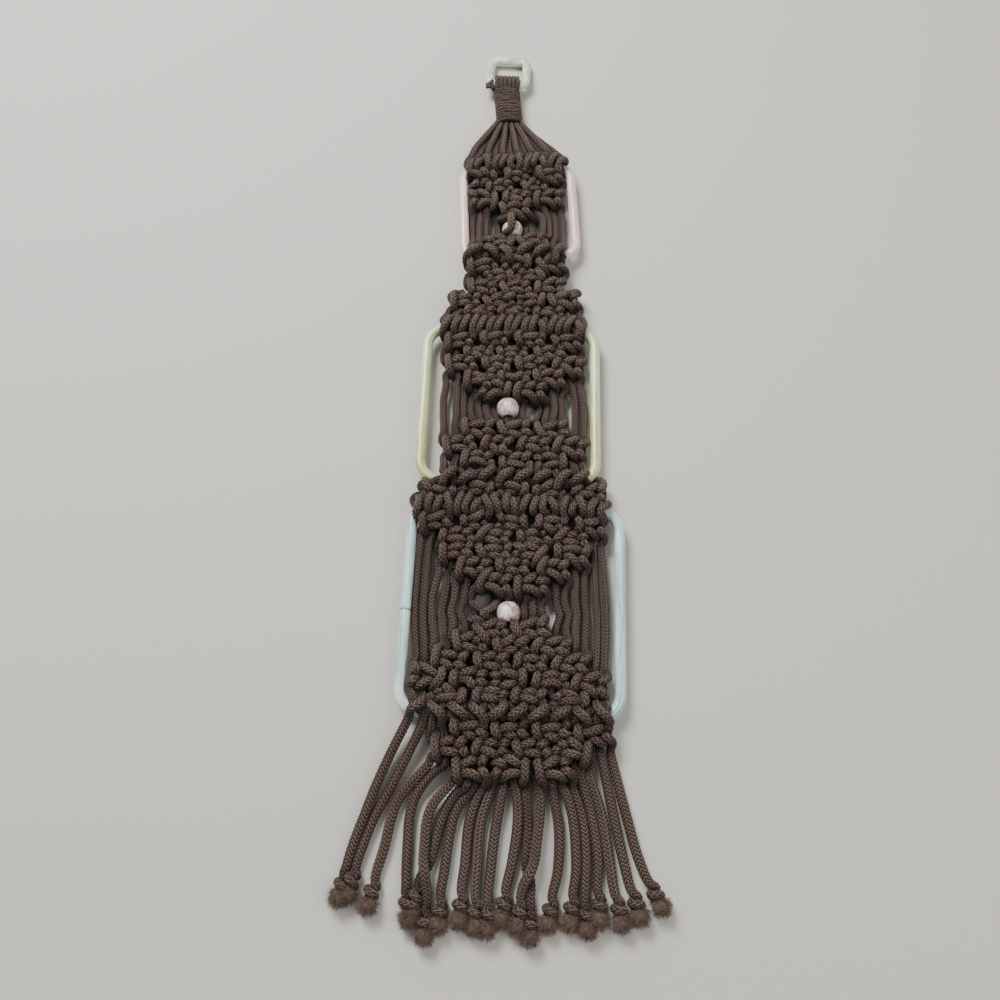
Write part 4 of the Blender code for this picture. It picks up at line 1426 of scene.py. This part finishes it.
class HANGING_OT_gathering(bpy.types.Operator):
    """Wind the gathering cord round the neck and knot its end beside the ring"""

    bl_idname = "hanging.gathering"
    bl_label = "Gathering Cord"

    def execute(self, context):
        settings = context.scene.hanging_cord
        tree = cord_tree()
        material = cord_material("braided_gathering_cord", settings, 1.35)
        values = {
            "Cord_width": settings.wrap_width, "Sides": settings.sides,
            "Strand": settings.strand * 0.9, "Relief": settings.relief * 0.7,
            "Material": material,
        }
        coil = self.coil()
        wrap = run_tree(line_object("neck_wrap_coil", [coil]), tree, **values)
        self.shade_grooves(wrap.data, coil)
        hand_over(wrap, "cord_brown", "neck_wrap")
        tail = run_tree(line_object("wrap_end_knot", [self.end_knot()]), tree, **values)
        hand_over(tail, "cord_brown", "wrap_tail")
        return {"FINISHED"}

    def coil(self):
        """Points of the turns round the neck, with both ends tucked in."""
        points = []
        steps = 36
        for number in range(WRAP_TURNS * steps + 1):
            angle = math.tau * number / steps + math.radians(200)
            turn = number / steps
            height = WRAP_TOP - turn * WRAP_PITCH
            height += 0.34 * math.sin(3 * angle + turn * 1.9)
            height += 0.26 * math.sin(7 * angle + turn * 3.1)
            round_x, round_z = (
                math.copysign(abs(way) ** WRAP_SQUARENESS, way)
                for way in (math.cos(angle), math.sin(angle))
            )
            inside = 0.72 if number in (0, WRAP_TURNS * steps) else 1.0
            x = NECK_X + turn * WRAP_LEAN + WRAP_HALF_WIDTH * inside * round_x
            z = WRAP_Z + WRAP_HALF_DEPTH * inside * round_z
            height -= 0.06 * WRAP_HALF_WIDTH * round_x
            points.append((x, height, z, 1.0, WRAP_Z + WRAP_HALF_DEPTH + 2.2))
        return points

    def shade_grooves(self, mesh, coil):
        """Store how deep each point lies between the turns, for the painted shade in the
        grooves.
        """
        finder = KDTree(len(coil))
        for index, point in enumerate(coil):
            finder.insert(to_frame(*point[:3]), index)
        finder.balance()
        depths = []
        for vertex in mesh.vertices:
            place, index, _ = finder.find(vertex.co)
            lean = (WRAP_TOP - coil[index][1]) / WRAP_PITCH * WRAP_LEAN
            out = (place - to_frame(NECK_X + lean, coil[index][1], WRAP_Z)).normalized()
            depths.append(GROOVE_DEPTH - GROOVE_FADE * (vertex.co - place).dot(out))
        mesh.attributes["depth"].data.foreach_set("value", depths)

    def end_knot(self):
        """Points of the small overhand knot at the gathering cord's end."""
        x, height, z = TAIL_PLACE
        stops = (
            (6.5, -6.5, -3.0), (4.5, -5.5, 0.5), (1.0, -4.2, 3.5), (-3.0, -1.0, 3.4),
            (-3.6, 3.2, 0.2), (-0.5, 3.6, -3.2), (2.6, 0.8, -2.6), (2.4, -2.2, 1.2),
            (-0.6, -3.4, 4.4), (-3.8, -2.0, 2.0), (-3.2, 1.2, -2.0), (0.2, 4.6, 0.4),
            (2.0, 5.2, 3.2), (0.6, 2.0, 4.8), (-1.2, -2.0, 5.4),
        )
        placed = [(x + a, height + b, z + c, 1.0, "") for a, b, c in stops]
        return [(*point, z + 8.0) for point in smooth_route(placed, 0.9)[0]]


class HANGING_OT_tufts(bpy.types.Operator):
    """Brush out the cord's end below every end knot"""

    bl_idname = "hanging.tufts"
    bl_label = "Brushed Tufts"

    def execute(self, context):
        settings = context.scene.hanging_tuft
        mesh = bpy.data.meshes.new("fringe_tufts")
        places, lies = [], []
        for cord in range(len(FRINGE)):
            knot, along = fringe_lie(cord)
            places.append(to_frame(*(knot + along * 10.0 + Vector((0.0, 0.0, 0.4)))))
            lies += [along.x, along.y, 0.10]
        mesh.from_pydata(places, [], [])
        mark(mesh, "lie", "FLOAT_VECTOR", "vector", lies)
        piece = run_tree(
            placed_object("fringe_tufts", mesh), tuft_tree(), Fibres=settings.fibres,
            Length=settings.length, Fibre_width=settings.width, Core=settings.core,
            Seed=settings.seed, Material=tuft_material(settings),
        )
        hand_over(piece, "cord_brown", "fringe")
        return {"FINISHED"}


class HANGING_OT_rings(bpy.types.Operator):
    """Mould the four square plastic rings"""

    bl_idname = "hanging.rings"
    bl_label = "Plastic Rings"

    finishes = {
        # veins, clouds, pattern across and along the tube, its start, slot
        "hanging_ring": ((0.30, 0.34, 0.20), (0.88, 0.93, 0.80), 0.9, 2.3, 4.0,
                         "ring_pale_green"),
        "ring_small": ((0.70, 0.50, 0.48), (1.0, 0.93, 0.92), 1.1, 1.5, 9.0, "ring_pink"),
        "ring_middle": ((0.38, 0.44, 0.17), (0.82, 0.88, 0.62), 1.0, 1.9, 2.0,
                        "ring_yellow_green"),
        "ring_large": ((0.28, 0.46, 0.44), (0.87, 0.95, 0.93), 1.0, 2.2, 7.0, "ring_mint"),
    }

    def execute(self, context):
        settings = context.scene.hanging_plastic
        tree = ring_tree()
        for name, (vein, cloud, *sizes, slot_name) in self.finishes.items():
            side, corner, x, height, z, turn, tilt = RINGS[name]
            material = marbled_plastic(
                f"plastic_{name}", tuple(getattr(settings, name)), vein, cloud,
                1.0, ring_pattern, *sizes,
            )
            piece = placed_object(f"{name}_plastic", bpy.data.meshes.new(name))
            joint_at, joint_depth = RING_JOINT if name == "ring_large" else NO_JOINT
            run_tree(
                piece, tree, Side=side * MM, Corner=corner * MM, Tube=TUBE * MM,
                Sides=settings.ring_sides, Material=material,
                Joint_at=joint_at, Joint_depth=joint_depth,
            )
            turned = Matrix.Rotation(math.radians(turn), 4, "Z")
            tilted = Matrix.Rotation(math.radians(tilt), 4, "X")
            placed = Matrix.Translation(to_frame(x, height, z))
            piece.data.transform(placed @ tilted @ turned)
            hand_over(piece, slot_name, name)
        return {"FINISHED"}


class HANGING_OT_beads(bpy.types.Operator):
    """Turn the three marbled beads"""

    bl_idname = "hanging.beads"
    bl_label = "Marbled Beads"

    def execute(self, context):
        settings = context.scene.hanging_plastic
        for number, (name, (x, height)) in enumerate(BEADS.items()):
            material = marbled_plastic(
                f"marbled_{name}", tuple(settings.bead), (0.16, 0.075, 0.055),
                (0.96, 0.92, 0.89), 0.55, ball_pattern, 105.0, 40.0 * number,
            )
            mesh = self.ball(to_frame(x, height, BEAD_Z))
            mesh.materials.append(material)
            hand_over(placed_object(f"{name}_marbled", mesh), "bead_marbled", name)
        return {"FINISHED"}

    def ball(self, centre):
        """A ball with a rounded hole along y."""
        turns, steps = 48, 30
        edge = math.asin((BEAD_BORE + 0.5) / BEAD_RADIUS)
        outline = []
        for step in range(steps + 1):
            angle = edge + (math.pi - 2 * edge) * step / steps
            outline.append((BEAD_RADIUS * math.sin(angle), BEAD_RADIUS * math.cos(angle)))
        end = outline[-1][1]
        outline += [
            (BEAD_BORE + 0.12, end + 0.12), (BEAD_BORE, end + 0.6), (BEAD_BORE, -end - 0.6),
            (BEAD_BORE + 0.12, -end - 0.12),
        ]
        form = bmesh.new()
        angles = [math.tau * index / turns for index in range(turns)]
        rings = [
            [
                form.verts.new(centre + MM * Vector(
                    (radius * math.cos(angle), along, radius * math.sin(angle)),
                ))
                for angle in angles
            ]
            for radius, along in outline
        ]
        for ring, following in zip(rings, rings[1:] + rings[:1]):
            for index in range(turns):
                after = (index + 1) % turns
                form.faces.new((ring[index], ring[after], following[after], following[index]))
        bmesh.ops.recalc_face_normals(form, faces=form.faces[:])
        for face in form.faces:
            face.smooth = True
        mesh = bpy.data.meshes.new("bead")
        form.to_mesh(mesh)
        form.free()
        return mesh


class HANGING_OT_stage(bpy.types.Operator):
    """Set the pale floor, the soft light and the camera"""

    bl_idname = "hanging.stage"
    bl_label = "Stage"

    def execute(self, context):
        settings = context.scene.hanging_stage
        self.floor(settings)
        self.lights(context, settings)
        self.camera(context)
        return {"FINISHED"}

    def floor(self, settings):
        """A plain pale floor just under the hanging."""
        half = settings.floor_size / 2
        mesh = bpy.data.meshes.new("floor")
        corners = [(-half, -half), (half, -half), (half, half), (-half, half)]
        mesh.from_pydata([(x, y, FLOOR_Z) for x, y in corners], [], [(0, 1, 2, 3)])
        material, tree, shader = new_material("pale_floor")
        fill(tree, shader, Base_Color=(*settings.floor_colour, 1.0), Roughness=0.75)
        mesh.materials.append(material)
        placed_object("floor", mesh)

    def lights(self, context, settings):
        """A large soft light above, a fill and even light all around."""
        world = bpy.data.worlds.new("studio")
        world.use_nodes = True
        background = world.node_tree.nodes["Background"]
        background.inputs["Color"].default_value = (1.0, 0.98, 0.95, 1.0)
        background.inputs["Strength"].default_value = settings.sky
        context.scene.world = world
        for name, power, size, place in (
            # sizes and places in metres
            ("key light", settings.key_power, 1.2, (-0.9, 1.3, 1.9)),
            ("fill light", settings.fill_power, 1.8, (1.4, -0.8, 1.6)),
        ):
            lamp = bpy.data.lights.new(name, "AREA")
            lamp.energy = power
            lamp.shape = "DISK"
            lamp.size = size
            light = placed_object(name, lamp)
            light.location = place
            light.rotation_euler = (-light.location).to_track_quat("-Z", "Y").to_euler()

    def camera(self, context):
        """The photograph's view: from above the fringe, looking up the hanging."""
        lens = bpy.data.cameras.new("camera")
        lens.sensor_width = 36.0
        lens.lens = 36.0
        lens.clip_start = 0.01
        camera = placed_object("camera", lens)
        turned = Matrix(camera_axes()).transposed().to_4x4()
        camera.matrix_world = Matrix.Translation(to_frame(*CAMERA_PLACE)) @ turned
        context.scene.camera = camera


class HANGING_PT_panel(bpy.types.Panel):
    """The hanging's sizes and colours, and a button for each group of pieces"""

    bl_label = "Knotted Wall Hanging"
    bl_idname = "HANGING_PT_panel"
    bl_space_type = "VIEW_3D"
    bl_region_type = "UI"
    bl_category = "Hanging"

    def draw(self, context):
        layout = self.layout
        for name, group in GROUPS.items():
            box = layout.box()
            for key in group.__annotations__:
                box.prop(getattr(context.scene, name), key)
        for operator in OPERATORS:
            layout.operator(operator.bl_idname)


OPERATORS = (
    HANGING_OT_stage,
    HANGING_OT_rings,
    HANGING_OT_beads,
    HANGING_OT_cords,
    HANGING_OT_gathering,
    HANGING_OT_tufts,
)
GROUPS = {
    "hanging_cord": CordSettings,
    "hanging_tuft": TuftSettings,
    "hanging_plastic": PlasticSettings,
    "hanging_stage": StageSettings,
}


def register():
    for group in GROUPS.values():
        bpy.utils.register_class(group)
    for name, group in GROUPS.items():
        setattr(bpy.types.Scene, name, PointerProperty(type=group))
    for operator in OPERATORS:
        bpy.utils.register_class(operator)
    bpy.utils.register_class(HANGING_PT_panel)


def unregister():
    bpy.utils.unregister_class(HANGING_PT_panel)
    for operator in reversed(OPERATORS):
        bpy.utils.unregister_class(operator)
    for name, group in GROUPS.items():
        delattr(bpy.types.Scene, name)
        bpy.utils.unregister_class(group)


def main():
    register()
    bpy.ops.hanging.stage()
    bpy.ops.hanging.rings()
    bpy.ops.hanging.beads()
    bpy.ops.hanging.cords()
    bpy.ops.hanging.gathering()
    bpy.ops.hanging.tufts()


if __name__ == "__main__":
    main()
